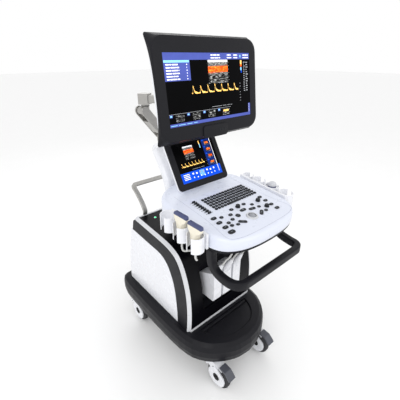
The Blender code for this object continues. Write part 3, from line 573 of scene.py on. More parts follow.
def cable_route(x, start_z, side, cup_y):
    """From the connector's bell, up and forward, round the rack, then under the cup to the probe."""
    cup_x = -side * CUP_X
    top = start_z + CABLE_CLIMB
    front = RACK_Y - TURN_R
    end = Vector((cup_x, cup_y, cup_foot(cup_y) - TAIL - GAP))
    return [
        bell_end(x),
        (x, -0.233, 0.635),
        (x, -0.252, 0.662),
        (x, front - 0.0150, start_z - 0.031),
        (x + side * 0.012, front - 0.0175, start_z - 0.012),
        (x + side * 0.038, front - 0.0070, start_z - 0.001),
        *winding(side * x + 0.055, start_z, side),
        (-side * 0.100, RACK_Y + TURN_R - 0.0002, top),
        (-side * 0.148, RACK_Y + TURN_R - 0.008, top - 0.006),
        (-side * 0.198, -0.2020, top - 0.012),
        (cup_x + side * 0.026, (cup_y - 0.2020) / 2, 0.7360),
        (cup_x + side * 0.006, end.y, 0.7420),
        (end.x, end.y, end.z - 0.016),
        tuple(end),
    ]


def make_cables():
    level = RACK_BOTTOM + 0.004 + CABLE_D / 2 + GAP
    step = 2 * CABLE_PITCH + 0.0012
    plan = (
        ("front", CONNECTOR_X[0], 1, CUP_Y[0], 1.54),
        ("middle", CONNECTOR_X[1], 1, CUP_Y[1], 1.44),
        ("slim", CONNECTOR_X[2], -1, CUP_Y[1], 1.48),
    )
    section = arc((0, 0), CABLE_D / 2, 0, 360, 12)[:-1]
    for i, (name, x, side, cup_y, length) in enumerate(plan):
        path = smooth(cable_route(x, level + (2 - i) * step, side, cup_y), 4)
        tube = loft(sweep_rings(path, section))
        node = "cable_" + name
        obj = piece(node + "_flex", tube, None, extras["cable"], (node,), 60)
        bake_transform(obj)


# ---- console


def console_outline(steps):
    half = [
        (0.0, -0.386), (0.060, -0.384), (0.115, -0.376), (0.157, -0.361),
        (0.190, -0.337), (0.209, -0.302), (0.2155, -0.255), (CONSOLE_HALF - 0.0006, -0.180),
        (CONSOLE_HALF - 0.0006, -0.050), (0.208, -0.008), (0.186, 0.024), (0.140, 0.056),
        (0.070, 0.074), (0.0, 0.076),
    ]
    return mirrored(smooth(half, steps))


def make_console():
    """The white shell, with a rounded shoulder and a socket for the ball."""
    outline = console_outline(4)

    def low(inset, z):
        return [(x, y, z) for x, y in shrunk(outline, inset)]

    def high(inset, drop):
        return [(x, y, deck(y) - drop) for x, y in shrunk(outline, inset)]

    rings = [low(0.030, CONSOLE_BOTTOM), low(0.005, CONSOLE_BOTTOM), low(0.0018, CONSOLE_BOTTOM + 0.0016)]
    rings += [low(0.0, CONSOLE_BOTTOM + 0.006)]
    shoulder = ((0.0, 0.0150), (0.0006, 0.0110), (0.0022, 0.0070), (0.0048, 0.0036), (0.0085, 0.0014))
    rings += [high(*step) for step in shoulder]
    rings += [high(0.0125, 0.0003), high(0.0160, 0.0)]
    bm = bmesh.new()
    loops = join_rings(bm, rings, caps=False)
    bm.faces.new(reversed(loops[0]))
    place = on_deck(*BALL)
    socket = [(BALL_R + 0.0020, 0.0), (BALL_R + 0.0018, -0.0012), (BALL_R + 0.0018, -0.0295)]
    well = join_rings(bm, moved(turned_rings(socket, 40), place), caps=False)
    bm.faces.new(well[-1])
    bm.edges.ensure_lookup_table()
    edges = []
    for loop in (loops[-1], well[0]):
        edges += [bm.edges.get((loop[i - 1], loop[i])) for i in range(len(loop))]
    bmesh.ops.triangle_fill(bm, use_beauty=True, use_dissolve=False, edges=edges)
    piece("console_shell", bm, "trolley", extras["deck"], ("console_top",), 40)


def ribbon(name, line, width, lift, finish, closed=False):
    """A flat strip on the deck along a line given in plan."""
    bm = bmesh.new()
    rails = []
    count = len(line)
    for i, point in enumerate(line):
        before = line[i - 1] if closed or i else line[0]
        after = line[(i + 1) % count] if closed or i + 1 < count else line[-1]
        along = (Vector(after) - Vector(before)).normalized()
        side = Vector((along.y, -along.x)) * width / 2
        rail = []
        for sign in (-1, 1):
            x, y = point[0] + side.x * sign, point[1] + side.y * sign
            rail.append((x, y, deck(y) + lift))
        rails.append(rail)
    verts = [[bm.verts.new(p) for p in rail] for rail in rails]
    pairs = list(zip(verts, verts[1:])) + ([(verts[-1], verts[0])] if closed else [])
    for a, b in pairs:
        bm.faces.new((a[0], a[1], b[1], b[0]))
    return piece(name, bm, "trolley", finish)


def make_seam_groove_shade():
    # A thin darker strip laid flat on the deck along the groove round the control panel: painted shade of
    # the groove.
    half = [(0.0, -0.366), (0.070, -0.365), (0.123, -0.361), (0.163, -0.350), (0.178, -0.333)]
    half += [(0.177, -0.305), (0.169, -0.262), (0.163, -0.200), (0.160, -0.110), (0.158, -0.020)]
    right = smooth(half, 5)
    line = [(-x, y) for x, y in reversed(right[1:])] + right
    ribbon("deck_seam_groove_shade", line, 0.0011, 0.00008, extras["seam_groove_shade"])


def key_rings(outline_of, tall):
    """A key's rings from an outline drawn at an inset: straight sides, a soft edge and a dished top."""
    steps = ((0.0, GAP), (0.0002, tall * 0.6), (0.0006, tall * 0.86), (0.0014, tall))
    steps += ((0.0026, tall - 0.0002),)
    return [[(x, y, z) for x, y in outline_of(inset)] for inset, z in steps]


def add_flat(bm, outline, matrix, index):
    face = bm.faces.new([bm.verts.new(matrix @ Vector(point)) for point in outline])
    face.material_index = index


def paint_from(bm, first, index):
    bm.faces.ensure_lookup_table()
    for face in bm.faces[first:]:
        face.material_index = index


def make_keyboard():
    """Six rows of separate caps, each with a pale mark."""
    rng = random.Random(4)
    bm = bmesh.new()
    rows, columns = 6, 15
    pitch_x, pitch_y = 2 * KEYBOARD_HALF[0] / columns, 2 * KEYBOARD_HALF[1] / rows
    base = on_deck(*KEYBOARD)
    for row in range(rows):
        y = KEYBOARD_HALF[1] - pitch_y * (row + 0.5)
        column = 0
        while column < columns:
            wide = 5 if (row == 5 and column == 4) else 2 if (row == 3 and column == 13) else 1
            x = -KEYBOARD_HALF[0] + pitch_x * (column + wide / 2)
            half_x = pitch_x * wide / 2 - 0.0023
            half_y = pitch_y / 2 - 0.0023
            place = base @ Matrix.Translation((x, y, 0))

            def outline(inset, hx=half_x, hy=half_y):
                return round_box(hx - inset, hy - inset, max(0.0022 - inset * 0.5, 0.0008), 3)

            join_rings(bm, moved(key_rings(outline, 0.0046), place))
            mark_y = rng.uniform(0.0004, 0.0012)
            wide_mark = rng.uniform(0.0010, 0.0019)
            for shift, half in ((mark_y, wide_mark), (mark_y - 0.0014, wide_mark * 0.5)):
                mark = [(a, b + shift, 0.00452) for a, b in round_box(half, 0.0003, 0.0001, 1)]
                add_flat(bm, mark, place, 1)
            column += wide
    finish = [finishes["key_black"], extras["mark"]]
    piece("keyboard_caps", bm, "trolley", finish, ("keyboard",), 50)


FUNCTION_KEYS = (
    # x, y, half length, half width, turn, all in millimetres and degrees
    (-137, -225, 10.5, 6.2, 0), (-139.5, -256, 10.5, 6.2, 0), (-141, -287.5, 10.5, 6.4, 0),
    (-142, -318, 13.0, 7.6, 0), (-109, -236, 7.0, 5.6, 0), (-112, -275, 6.8, 5.4, 0),
    (-114, -293, 6.8, 5.4, 0), (-91, -300.5, 6.6, 5.2, 0), (-84.5, -268, 7.0, 5.6, 0),
    (-69, -243, 7.6, 5.6, 0), (-40, -220, 7.8, 5.8, 0), (30, -219.5, 7.8, 5.6, 0),
    (-5, -247, 13.0, 5.8, 0), (-49, -262, 8.6, 8.0, 0), (-64.5, -299, 14.5, 5.8, -38),
    (32.5, -261, 14.0, 5.6, -8), (42, -299, 14.5, 5.8, 38), (56, -240, 7.0, 5.4, 0),
    (67, -266, 6.8, 5.4, 0), (69, -299, 6.8, 5.4, 0), (129, -220, 8.8, 5.8, 0),
    (127, -251, 8.8, 5.8, 0), (123, -283, 8.8, 5.8, 0), (120, -313, 9.6, 6.2, 0),
)


def make_function_keys():
    bm = bmesh.new()
    for x, y, long, wide, turn in FUNCTION_KEYS:
        half_x, half_y = long * 1.14 / 1000, wide * 1.18 / 1000
        place = on_deck(x / 1000, y / 1000, turn)

        def outline(inset, hx=half_x, hy=half_y):
            hx, hy = hx - inset, hy - inset
            return round_box(hx, hy, min(hx, hy) * 0.96, 6)

        rim = [(-0.0011, GAP / 2), (-0.0011, 0.0006), (-0.0004, 0.0010), (0.0, 0.0006)]
        first = len(bm.faces)
        join_rings(bm, moved([[(a, b, z) for a, b in outline(inset)] for inset, z in rim], place))
        paint_from(bm, first, 1)
        join_rings(bm, moved(key_rings(outline, 0.0036), place))
        first = len(bm.faces)
        bar = round_box(half_x * 0.30, 0.00040, 0.0003, 2)
        add_flat(bm, [(a, b + 0.0008, 0.00356) for a, b in bar], place, 2)
        dot = round_box(half_x * 0.16, 0.00045, 0.0003, 2)
        add_flat(bm, [(a, b - 0.0010, 0.00356) for a, b in dot], place, 2)
    finish = [finishes["key_black"], extras["rim"], extras["mark"]]
    piece("function_keys", bm, "trolley", finish, crease=50)


def make_trackball():
    profile = []
    for i in range(1, 24):
        angle = math.pi * i / 24
        profile.append((BALL_R * math.sin(angle), -BALL_R * math.cos(angle)))
    place = Matrix.Translation((*BALL, deck(BALL[1]) - BALL_SINK))
    ball = loft(moved(turned_rings(profile, 40), place))
    piece("ball_smooth", ball, "ball", extras["ball"], ("trackball",), 60)
    ring = [(0.0180, 0.0001), (0.0155, 0.0040), (0.0158, 0.0048), (0.0176, 0.0050)]
    ring += [(0.0205, 0.0040), (0.0228, 0.0018), (0.0235, 0.0001)]
    grey = "pale_grey_plastic"
    collar("ball_collar", ring, 48, on_deck(*BALL), "trolley", finishes[grey], 60)


def make_knobs():
    """Knurled caps with a pale pointer."""
    for i, (x, y) in enumerate(KNOBS, 1):
        bm = bmesh.new()
        place = on_deck(x, y)
        flutes = 24
        rings = []
        levels = ((0.0100, GAP, 0), (0.0100, 0.0014, 0), (0.0090, 0.0026, 1), (0.0087, 0.0088, 1))
        levels += ((0.0080, 0.0101, 0), (0.0070, 0.0105, 0), (0.0058, 0.0102, 0))
        for radius, z, fluted in levels:
            ring = []
            for k in range(flutes * 2):
                angle = math.pi * k / flutes
                reach = radius - (0.0003 if fluted and k % 2 else 0.0)
                ring.append((reach * math.cos(angle), reach * math.sin(angle), z))
            rings.append(ring)
        join_rings(bm, moved(rings, place))
        pointer = [(a, b + 0.0036, 0.01035) for a, b in round_box(0.0004, 0.0018, 0.0003, 2)]
        add_flat(bm, pointer, place, 1)
        marked = [finishes["key_black"], extras["mark"]]
        piece(f"dial_cap_{i}", bm, f"dial_{i}", marked, (f"knob_{i}",), 40)


def make_sliders():
    tracks = bmesh.new()
    for i in range(8):
        y = SLIDER_Y - i * SLIDER_PITCH
        place = on_deck(SLIDER_X, y)
        # Each track is a flat dark patch on the deck: painted shade of the slider's slot.
        slot = round_box(0.0165, 0.0011, 0.0010, 3)
        add_flat(tracks, [(a, b, 0.00010) for a, b in slot], place, 0)
        bm = bmesh.new()
        rings = []
        for inset, z in ((0.0, GAP), (0.0002, 0.0030), (0.0006, 0.0066), (0.0012, 0.0073)):
            rings.append([(a, b, z) for a, b in round_box(0.0074 - inset, 0.0029 - inset, 0.0012, 3)])
        rings.append([(a, b, 0.0069) for a, b in round_box(0.0050, 0.0010, 0.0006, 3)])
        join_rings(bm, moved(rings, place))
        for shift in (-0.0045, 0.0045):
            line = [(a + shift, b, 0.00740) for a, b in round_box(0.0002, 0.0012, 0.0001, 1)]
            add_flat(bm, line, place, 1)
        marked, n = [finishes["key_black"], extras["mark"]], i + 1
        piece(f"gain_cap_{n}", bm, f"gain_slider_{n}", marked, (f"tgc_slider_{n}",), 45)
    piece("gain_tracks", tracks, "trolley", extras["dark"])


def make_front_handle():
    x = HANDLE_HALF
    half = [
        (-x, -0.272, TRAY_BOTTOM - GAP),
        (-x, -0.272, TRAY_BOTTOM - 0.010),
        (-x, -0.272, 0.742),
        (-x, -0.277, 0.708),
        (-x, -0.300, 0.682),
        (-x, -0.345, 0.672),
        (-x + 0.006, -0.381, 0.672),
        (-x + 0.027, -0.399, 0.672),
        (-x + 0.070, -0.402, 0.672),
    ]
    path = smooth(half + [(-a, b, c) for a, b, c in reversed(half)], 5)
    section = round_box(0.0128, 0.0158, 0.0055, 5)
    bar = loft(sweep_rings(path, section))
    piece("front_handle_grip", bar, "trolley", finishes["black_shell"], ("front_handle",), 50)


# ---- probes


def make_convex_probe(name, y):
    """The cream handle with its wide head, and the blue-grey lens band over the dome."""
    sections = [
        (-TAIL, 0.0070, 0.0070, 0.95),
        (-0.010, 0.0080, 0.0080, 0.95),
        (-0.002, 0.0095, 0.0095, 0.95),
        (0.004, 0.0125, 0.0130, 0.90),
        (0.030, 0.0140, 0.0165, 0.85),
        (0.062, 0.0138, 0.0190, 0.80),
        (0.070, 0.0118, 0.0265, 0.75),
        (0.078, 0.0098, 0.0320, 0.70),
        (HEAD_TOP, HEAD_THICK, HEAD_HALF, 0.65),
    ]
    rings = []
    for z, half_x, half_y, share in smooth(sections, 3):
        half_x, half_y = min(half_x, GRIP_THICK), min(half_y, HEAD_HALF)
        rings.append([(a, b, z) for a, b in round_box(half_x, half_y, half_x * share, 5)])

    def dome(inset, lift):
        ring = round_box(HEAD_THICK - inset, HEAD_HALF - inset, 0.0055 - min(inset, 0.003), 5)
        return [(a, b, HEAD_TOP + lift + HEAD_DOME * (1 - (b / HEAD_HALF) ** 2)) for a, b in ring]

    place = Matrix.Translation((-CUP_X, y, cup_foot(y)))
    rings.append(dome(0.0, 0.0))
    body = loft(moved(rings, place))
    hand = name + "_handpiece"
    cream, slot = finishes["probe_cream"], "probe_cream"
    piece(f"probe_{name}_grip", body, hand, cream, ("probe_" + name,), 40)
    lens = [dome(-0.0003, -0.0010), dome(-0.0003, 0.0030), dome(0.0004, 0.0056), dome(0.0016, 0.0074)]
    lens += [dome(0.0032, 0.0083), dome(0.0050, 0.0086)]
    piece(f"probe_{name}_lens", loft(moved(lens, place)), hand, extras["lens"], crease=50)
    ribs = bmesh.new()
    for k in range(5):
        z = -0.0165 + k * 0.0030
        ring = [(0.0062, z - 0.0010), (0.0084, z - 0.0006), (0.0084, z + 0.0006), (0.0062, z + 0.0010)]
        join_rings(ribs, moved(turned_rings(ring, 24), place))
    piece(f"probe_{name}_relief", ribs, hand, extras["cable"], crease=50)


def make_slim_probe(y):
    profile = [
        (0.0065, -TAIL), (0.0076, -0.010), (0.0090, -0.002), (0.0130, 0.006),
        (0.0150, 0.036), (0.0188, 0.050), (0.0190, 0.056), (0.0188, 0.062),
        (0.0155, 0.070), (0.0080, 0.075),
    ]
    place = Matrix.Translation((CUP_X, y, cup_foot(y)))
    body = loft(moved(turned_rings(smooth(profile, 3), 36), place))
    grey = finishes["pale_grey_plastic"]
    piece("probe_slim_grip", body, "slim_handpiece", grey, ("probe_slim",), 50)
    ring = [(0.0192, 0.0535), (0.0196, 0.0545), (0.0196, 0.0575), (0.0192, 0.0585)]
    collar("probe_slim_band", ring, 36, place, "slim_handpiece", extras["lens"])


# ---- casters


def make_caster(name, x, y):
    """A round tyre, hub caps on both covers, and the release slot in the cover."""
    rim = WHEEL_W / 2
    profile = [(0.010, -rim), (0.050, -rim), (0.0560, -rim + 0.0004), (0.0600, -rim + 0.0018)]
    profile += [(0.0618, -rim + 0.0050), (WHEEL_R, -rim + 0.0095), (0.0615, -0.0010), (0.0615, 0.0010)]
    profile += [(radius, -z) for radius, z in reversed(profile[:-2])]
    axle = Matrix.Translation((x, y - TRAIL, WHEEL_R)) @ Matrix.Rotation(math.pi / 2, 4, "Y")
    tyre = loft(moved(turned_rings(profile, 64), axle))
    piece(name + "_tyre", tyre, name + "_roller", finishes["tyre"], (name + "_wheel",), 40)
    cheek = WHEEL_W / 2 + 0.0075
    cap = [(0.0180, cheek), (0.0178, cheek + 0.0014), (0.0160, cheek + 0.0020), (0.0120, cheek + 0.0009)]
    cap += [(0.0060, cheek + 0.0007), (0.0052, cheek + 0.0020), (0.0030, cheek + 0.0022)]
    ring = [(0.0485, cheek), (0.0480, cheek + 0.0007), (0.0430, cheek + 0.0010), (0.0200, cheek + 0.0010)]
    ring += [(0.0185, cheek + 0.0002)]
    caps, covers = bmesh.new(), bmesh.new()
    for turn in (0, math.pi):
        place = axle @ Matrix.Rotation(turn, 4, "X")
        join_rings(caps, moved(turned_rings(cap, 32), place))
        join_rings(covers, moved(turned_rings(ring, 48), place), caps=False)
    # The release slots are flat dark patches on the covers: painted shade of the openings.
    for sign in (-1, 1):
        side = Matrix.Translation((x + sign * (cheek + 0.00012), y - 0.024, 0.1115))
        slot = [(0.0, a, b) for a, b in round_box(0.0022, 0.0046, 0.0020, 3)]
        add_flat(caps, slot, side @ Matrix.Rotation(math.radians(25), 4, "X"), 0)
    piece(name + "_hub_caps", caps, name + "_caster", extras["dark"], crease=40)
    piece(name + "_covers", covers, name + "_caster", finishes["white_shell"], crease=40)


# ---- displays


class Picture:
    """A display's picture made of flat lit patches, measured as shares of its width and height from
    its top left corner."""

    LAYER = 0.00005

    def __init__(self, place, size, seed):
        self.place, self.size = place, size
        self.bm = bmesh.new()
        self.finishes = []
        self.rng = random.Random(seed)

    def patch(self, points, finish, layer=1):
        if finish not in self.finishes:
            self.finishes.append(finish)
        corners = []
        for u, v in points:
            spot = Vector(((u - 0.5) * self.size[0], -layer * self.LAYER, (0.5 - v) * self.size[1]))
            corners.append(self.bm.verts.new(self.place @ spot))
        self.bm.faces.new(corners).material_index = self.finishes.index(finish)

    def bar(self, left, top, right, low, finish, layer=1):
        self.patch(((left, low), (right, low), (right, top), (left, top)), finish, layer)

    def marks(self, left, top, right, low, rows, finish, layer=2, thick=0.45, breaks=3):
        """Rows of short dashes that stand for text."""
        pitch = (low - top) / rows
        for row in range(rows):
            start = left
            for _ in range(breaks):
                end = min(right, start + self.rng.uniform(0.12, 0.5) * (right - left))
                middle = top + pitch * (row + 0.5)
                half = pitch * thick / 2
                if end - start > 0.002:
                    self.bar(start, middle - half, end, middle + half, finish, layer)
                start = end + 0.05 * (right - left)

    def scan(self, left, top, right, low):
        """A strip of tissue: bright near rows, coloured flow, then fading depth."""
        tall = low - top
        rows = ((0.0, 0.09, "white"), (0.09, 0.27, "speckle"), (0.27, 0.52, "flow"))
        rows += ((0.52, 0.60, "speckle"),)
        for start, end, finish in rows:
            skew = 0.02 if finish == "flow" else 0.0
            points = ((left, top + end * tall + skew), (right, top + end * tall))
            points += ((right, top + start * tall - skew), (left, top + start * tall))
            self.patch(points, extras[finish], 2)
        self.bar(left, top + 0.60 * tall, right, low, extras["tissue"], 1)
        self.bar(left, top + 0.03 * tall, right, top + 0.055 * tall, extras["dim"], 3)

    def waveform(self, left, right, base, peak, beats, thick):
        """A pulse trace: a sharp rise, then a falling tail, filled a little above its base."""
        pitch = (right - left) / beats
        shape = ((0.0, 0.05), (0.10, 0.10), (0.15, 1.0), (0.22, 0.92), (0.30, 0.42), (0.42, 0.24))
        shape += ((0.58, 0.15), (0.80, 0.08), (1.0, 0.05))
        line = []
        for beat in range(beats):
            tall = peak * self.rng.uniform(0.86, 1.0)
            for along, height in shape[:-1]:
                jitter = self.rng.uniform(-0.006, 0.006)
                line.append((left + pitch * (beat + along), base - tall * height + jitter))
        for (u0, v0), (u1, v1) in zip(line, line[1:]):
            low0, low1 = min(base + thick, v0 + thick * 3), min(base + thick, v1 + thick * 3)
            self.patch(((u0, low0), (u1, low1), (u1, v1), (u0, v0)), extras["trace"], 2)

    def show(self, name, body):
        return piece(name, self.bm, body, self.finishes)


def make_monitor_picture():
    e = extras
    p = Picture(on_monitor(0, 0.0011, 0), (SCREEN[0] - 0.001, SCREEN[1] - 0.001), 3)
    p.bar(0, 0, 1, 1, e["display_off"], 0)
    p.bar(0, 0, 1, 0.095, e["violet"])
    for left, right in ((0.50, 0.62), (0.70, 0.755), (0.785, 0.835), (0.91, 0.985)):
        p.marks(left, 0.012, right, 0.090, 2, e["white"], thick=0.38)
    p.bar(0.868, 0.030, 0.880, 0.068, e["cyan"], 2)
    p.bar(0, 0.095, 0.262, 0.370, e["violet"])
    p.bar(0.004, 0.098, 0.255, 0.128, e["cyan"], 2)
    p.marks(0.020, 0.135, 0.150, 0.365, 6, e["white"], thick=0.42)
    p.marks(0.225, 0.135, 0.250, 0.365, 6, e["white"], thick=0.36, breaks=1)
    p.scan(0.462, 0.100, 0.702, 0.435)
    p.marks(0.712, 0.110, 0.722, 0.420, 6, e["dim"], thick=0.12, breaks=1)
    p.waveform(0.262, 0.850, 0.552, 0.115, 7, 0.010)
    p.marks(0.858, 0.440, 0.878, 0.760, 7, e["dim"], thick=0.22, breaks=1)
    p.bar(0.872, 0.110, 0.892, 0.165, e["trace"], 2)
    p.bar(0.872, 0.165, 0.892, 0.205, e["flow"], 2)
    p.bar(0.874, 0.215, 0.890, 0.262, e["cyan"], 2)
    p.bar(0.880, 0.262, 0.892, 0.300, e["bright_blue"], 2)
    p.marks(0.915, 0.125, 0.940, 0.600, 16, e["dim"], thick=0.40, breaks=2)
    p.marks(0.948, 0.125, 0.982, 0.600, 13, e["dim"], thick=0.40, breaks=2)
    p.marks(0.480, 0.775, 0.740, 0.790, 1, e["dim"], thick=0.4, breaks=8)
    p.bar(0, 0.815, 0.72, 0.819, e["dim"], 2)
    for i in range(4):
        left = 0.004 + 0.182 * i
        p.bar(left, 0.822, left + 0.030, 0.862, e["violet"], 2)
        p.bar(left + 0.006, 0.832, left + 0.024, 0.852, e["cyan"], 3)
        p.bar(left + 0.062, 0.835, left + 0.150, 0.935, e["tissue"], 2)
        if i == 3:
            p.bar(left + 0.070, 0.852, left + 0.138, 0.880, e["trace"], 3)
    p.bar(0.972, 0.800, 1, 0.955, e["violet"])
    p.marks(0.980, 0.810, 0.992, 0.950, 6, e["white"], thick=0.4, breaks=1)
    p.bar(0, 0.953, 1, 1, e["violet"])
    p.marks(0.008, 0.965, 0.30, 0.990, 1, e["cyan"], thick=0.3, breaks=6)
    p.show("monitor_picture", "monitor")


def make_touch_picture():
    e = extras
    p = Picture(on_touch(0, 0.0009, 0.108), (0.2185, 0.1635), 9)
    p.bar(0, 0, 1, 1, e["display_off"], 0)
    p.scan(0.235, 0.10, 0.470, 0.44)
    p.bar(0.640, 0.03, 0.662, 0.12, e["trace"], 2)
    p.bar(0.644, 0.12, 0.664, 0.22, e["cyan"], 2)
    p.waveform(0.085, 0.660, 0.600, 0.105, 7, 0.012)
    p.marks(0.300, 0.695, 0.600, 0.712, 1, e["dim"], thick=0.4, breaks=6)
    p.marks(0.690, 0.52, 0.700, 0.72, 5, e["dim"], thick=0.25, breaks=1)
    p.bar(0.715, 0.02, 0.915, 0.735, e["deep_blue"], 1)
    for i in range(4):
        top = 0.035 + 0.175 * i
        p.bar(0.735, top, 0.775, top + 0.030, e["bright_blue"], 2)
        p.bar(0.775, top + 0.035, 0.895, top + 0.145, e["tissue"], 2)
        p.bar(0.795, top + 0.060, 0.880, top + 0.105, e["flow"], 3)
    p.bar(0, 0.745, 1, 1, e["bright_blue"])
    p.bar(0.928, 0.0, 0.938, 0.93, e["white"], 3)
    for row in range(4):
        p.bar(0.055, 0.790 + 0.040 * row, 0.195, 0.806 + 0.040 * row, e["white"], 2)
    for i in range(7):
        left = 0.265 + 0.088 * i
        top = 0.790 + (i % 2) * 0.012
        finish = e["dim"] if i in (2, 3) else e["white"]
        p.bar(left, top, left + 0.034, top + 0.040, finish, 2)
        p.bar(left + 0.010, top + 0.105, left + 0.030, top + 0.135, e["white"], 2)
    p.bar(0.440, 0.775, 0.560, 0.925, e["cyan"], 1)
    p.show("touch_picture", "touch_screen")


def divided(outline, shortest, count):
    """A closed outline whose sides longer than shortest are cut into count pieces."""
    found = []
    for i, point in enumerate(outline):
        start, end = Vector(point), Vector(outline[(i + 1) % len(outline)])
        pieces = count if (end - start).length > shortest else 1
        found += [tuple(start.lerp(end, k / pieces)) for k in range(pieces)]
    return found


def make_monitor_bezel():
    """The dark frame, whose top and bottom sweep back and flare into ears at its ends."""

    def ring(inset, depth, radius, swept=0.0, flare=0.0):
        found = []
        for x, z in divided(round_box(BEZEL_HALF - inset, BEZEL_UP - inset, radius, 7), 0.10, 24):
            share = abs(z / BEZEL_UP) ** 3
            found.append((x, depth + swept * share, z + math.copysign(flare * share, z)))
        return found

    front = [ring(0.0100, 0.0, 0.042), ring(0.0040, 0.0002, 0.045), ring(0.0012, 0.0014, 0.045)]
    front += [ring(0.0, 0.0040, 0.045), ring(0.0, 0.0052, 0.039, 0.005, 0.001)]
    front += [ring(0.0, 0.0065, 0.032, 0.012, 0.003), ring(0.0, 0.0073, 0.021, 0.020, 0.0065)]
    front += [ring(0.0, 0.0080, 0.010, 0.029, 0.011), ring(0.0030, 0.0078, 0.009, 0.0285, 0.011)]
    bm = bmesh.new()
    place = on_monitor()
    loops = join_rings(bm, moved(front, place), caps=False)
    inner = join_rings(bm, moved([ring(0.0060, 0.0062, 0.036)], place), caps=False)[0]
    for i in range(len(inner)):
        j = (i + 1) % len(inner)
        bm.faces.new((loops[-1][i], loops[-1][j], inner[j], inner[i]))
    bm.faces.new(inner)
    pane = round_box(SCREEN[0] / 2, SCREEN[1] / 2, 0.001, 1)
    well = [[(x, depth, z) for x, z in pane] for depth in (0.0, 0.0012)]
    window = join_rings(bm, moved(well, place), caps=False)
    bm.faces.new(window[-1])
    edges = []
    for loop in (loops[0], window[0]):
        edges += [bm.edges.get((loop[i - 1], loop[i])) for i in range(len(loop))]
    bmesh.ops.triangle_fill(bm, use_beauty=True, use_dissolve=False, edges=edges)
    grip = [(0.0, 0.0005), (0.0, -0.0030), (0.0010, -0.0045), (0.0030, -0.0050)]
    rings = []
    for inset, depth in grip:
        outline = round_box(0.062 - inset, 0.0225 - inset, 0.012 - inset, 6, (0, -0.1495))
        rings.append([(x, depth, z) for x, z in outline])
    join_rings(bm, moved(rings, place))
    piece("monitor_frame", bm, "monitor", finishes["black_shell"], ("monitor_bezel",), 40)


def make_monitor_details():
    """Buttons on the grip pad, and the dark vents of the rear housing."""
    buttons = bmesh.new()
    for i in range(3):
        place = on_monitor(0.020 + 0.013 * i, -0.005, -0.1490) @ FACE_OUT
        profile = [(0.0042, -0.0002), (0.0042, 0.0006), (0.0036, 0.0011), (0.0020, 0.0008)]
        join_rings(buttons, moved(turned_rings(profile, 24), place))
    piece("monitor_buttons", buttons, "monitor", finishes["key_black"], crease=45)
    # The vent slots are flat dark patches: painted shade of the openings.
    vents = bmesh.new()
    for side in (-1, 1):
        for i in range(9):
            place = on_monitor(side * 0.105, 0.0513, 0.055 - 0.011 * i)
            slot = [(a, 0.0, b) for a, b in round_box(0.034, 0.0018, 0.0016, 3)]
            add_flat(vents, slot, place, 0)
    piece("monitor_vents", vents, "monitor", extras["dark"])


# ---- trolley details


def make_footrest():
    """A flat mat in the recess, with a step near the rear edge."""
    bm = bmesh.new()
    half = smooth([(0.0, -0.2825), (0.069, -0.2745), (0.1165, -0.238), (0.1415, -0.191)], 5)
    outline = mirrored(half + [(0.1435, -0.189), (0.0, -0.189)])
    rings = []
    for inset, drop in ((0.0, 0.0079), (0.0, 0.0058), (0.0012, 0.0048), (0.0030, 0.0046)):
        rings.append([(x, y, base_top(y) - drop) for x, y in shrunk(outline, inset)])
    join_rings(bm, rings)
    strip = round_box(0.1440, 0.0062, 0.003, 3, (0, -0.1775))
    rings = []
    for inset, drop in ((0.0, 0.0079), (0.0, 0.0040), (0.0012, 0.0030)):
        rings.append([(x, y, base_top(y) - drop) for x, y in shrunk(strip, inset)])
    join_rings(bm, rings)
    piece("footrest_mat", bm, "trolley", finishes["black_shell"], crease=40)


def make_lamp():
    """The green power lamp on the trolley's black top."""
    place = Matrix.Translation((-0.125, 0.183, 0.6765)) @ Matrix.Rotation(math.radians(4), 4, "X")
    lens = loft(moved(turned_rings([(0.0040, 0.0), (0.0040, 0.0016), (0.0026, 0.0026)], 20), place))
    piece("power_lamp", lens, "trolley", extras["led"], crease=50)
    ring = [(0.0042, 0.0), (0.0044, 0.0015), (0.0058, 0.0018), (0.0066, 0.0002)]
    collar("lamp_bezel", ring, 24, place, "trolley", finishes["silver_trim"])


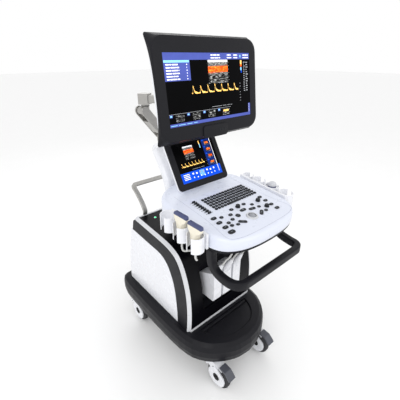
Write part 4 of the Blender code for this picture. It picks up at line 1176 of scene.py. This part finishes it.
def make_rear_details():
    """Vent slots on the slanted rear cover, drawn as flat dark patches: painted shade of the openings."""
    top, low = Vector((0, 0.318, 0.500)), Vector((0, 0.340, 0.390))
    down = (low - top).normalized()
    out = Vector((0, -down.z, down.y))
    if out.y < 0:
        out = -out
    slots = bmesh.new()
    for column in (-0.085, 0.0, 0.085):
        for row in range(8):
            middle = top + down * (0.014 + 0.0115 * row) + out * 0.00015 + Vector((column, 0, 0))
            outline = round_box(0.036, 0.0024, 0.0022, 3)
            slots.faces.new([slots.verts.new(middle + Vector((a, 0, 0)) + down * b) for a, b in outline])
    piece("rear_vents", slots, "trolley", extras["dark"])


def make_arm_details():
    """A thin dark band on the elbow's post: painted shade of its ring gap."""
    ring = [(0.0168, 0.0), (0.0172, 0.0006), (0.0172, 0.0024), (0.0168, 0.0030)]
    place = Matrix.Translation((*ELBOW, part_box("elbow_post")[1].z - 0.0075))
    collar("elbow_gap_shade", ring, 36, place, "elbow", extras["dark"])


# ---- assembly


make_camera()
finishes = make_finishes()
extras = make_extras()
SLOT_OF = {row["node"]: row["material_slot"] for row in frame["record"]["subparts"]}
make_cables()

for node, obj in frame["nodes"].items():
    for holder in obj.material_slots:
        holder.material = finishes[SLOT_OF[node]]

make_console()
make_seam_groove_shade()
make_keyboard()
make_function_keys()
make_trackball()
make_knobs()
make_sliders()
make_front_handle()
make_convex_probe("front", CUP_Y[0])
make_convex_probe("middle", CUP_Y[1])
make_slim_probe(CUP_Y[1])
for end, (stem_x, stem_y) in STEMS.items():
    for side, sign in (("left", -1), ("right", 1)):
        make_caster(end + "_" + side, sign * stem_x, stem_y)
        softened(end + "_" + side + "_fork", 0.0012)
make_monitor_bezel()
make_monitor_picture()
make_touch_picture()
make_monitor_details()
make_footrest()
make_lamp()
make_rear_details()
make_arm_details()

ROUNDED = (
    (0.0015, ("left_side_band", "right_side_band", "left_side_panel", "right_side_panel")),
    (0.0006, ("front_fascia",)),
    (0.0010, ("port_panel", "rear_cover")),
    (0.0012, ("console_tray", "cable_rack")),
    (0.0010, ("left_holder", "right_holder")),
    (0.0022, ("connector_1", "connector_2", "connector_3")),
    (0.0008, ("touch_bezel",)),
    (0.0010, ("touch_shell",)),
    (0.0012, ("front_left_pedal", "front_right_pedal")),
)
for width, nodes in ROUNDED:
    for node in nodes:
        softened(node, width)
softened("front_trim", 0.0008, material=extras["trim"])
for node in ("arm_turret", "lower_arm", "elbow_post", "upper_arm", "monitor_head", "rear_handle"):
    softened(node, 0.0009, material=extras["arm"])

make_studio()

bpy.context.view_layer.update()
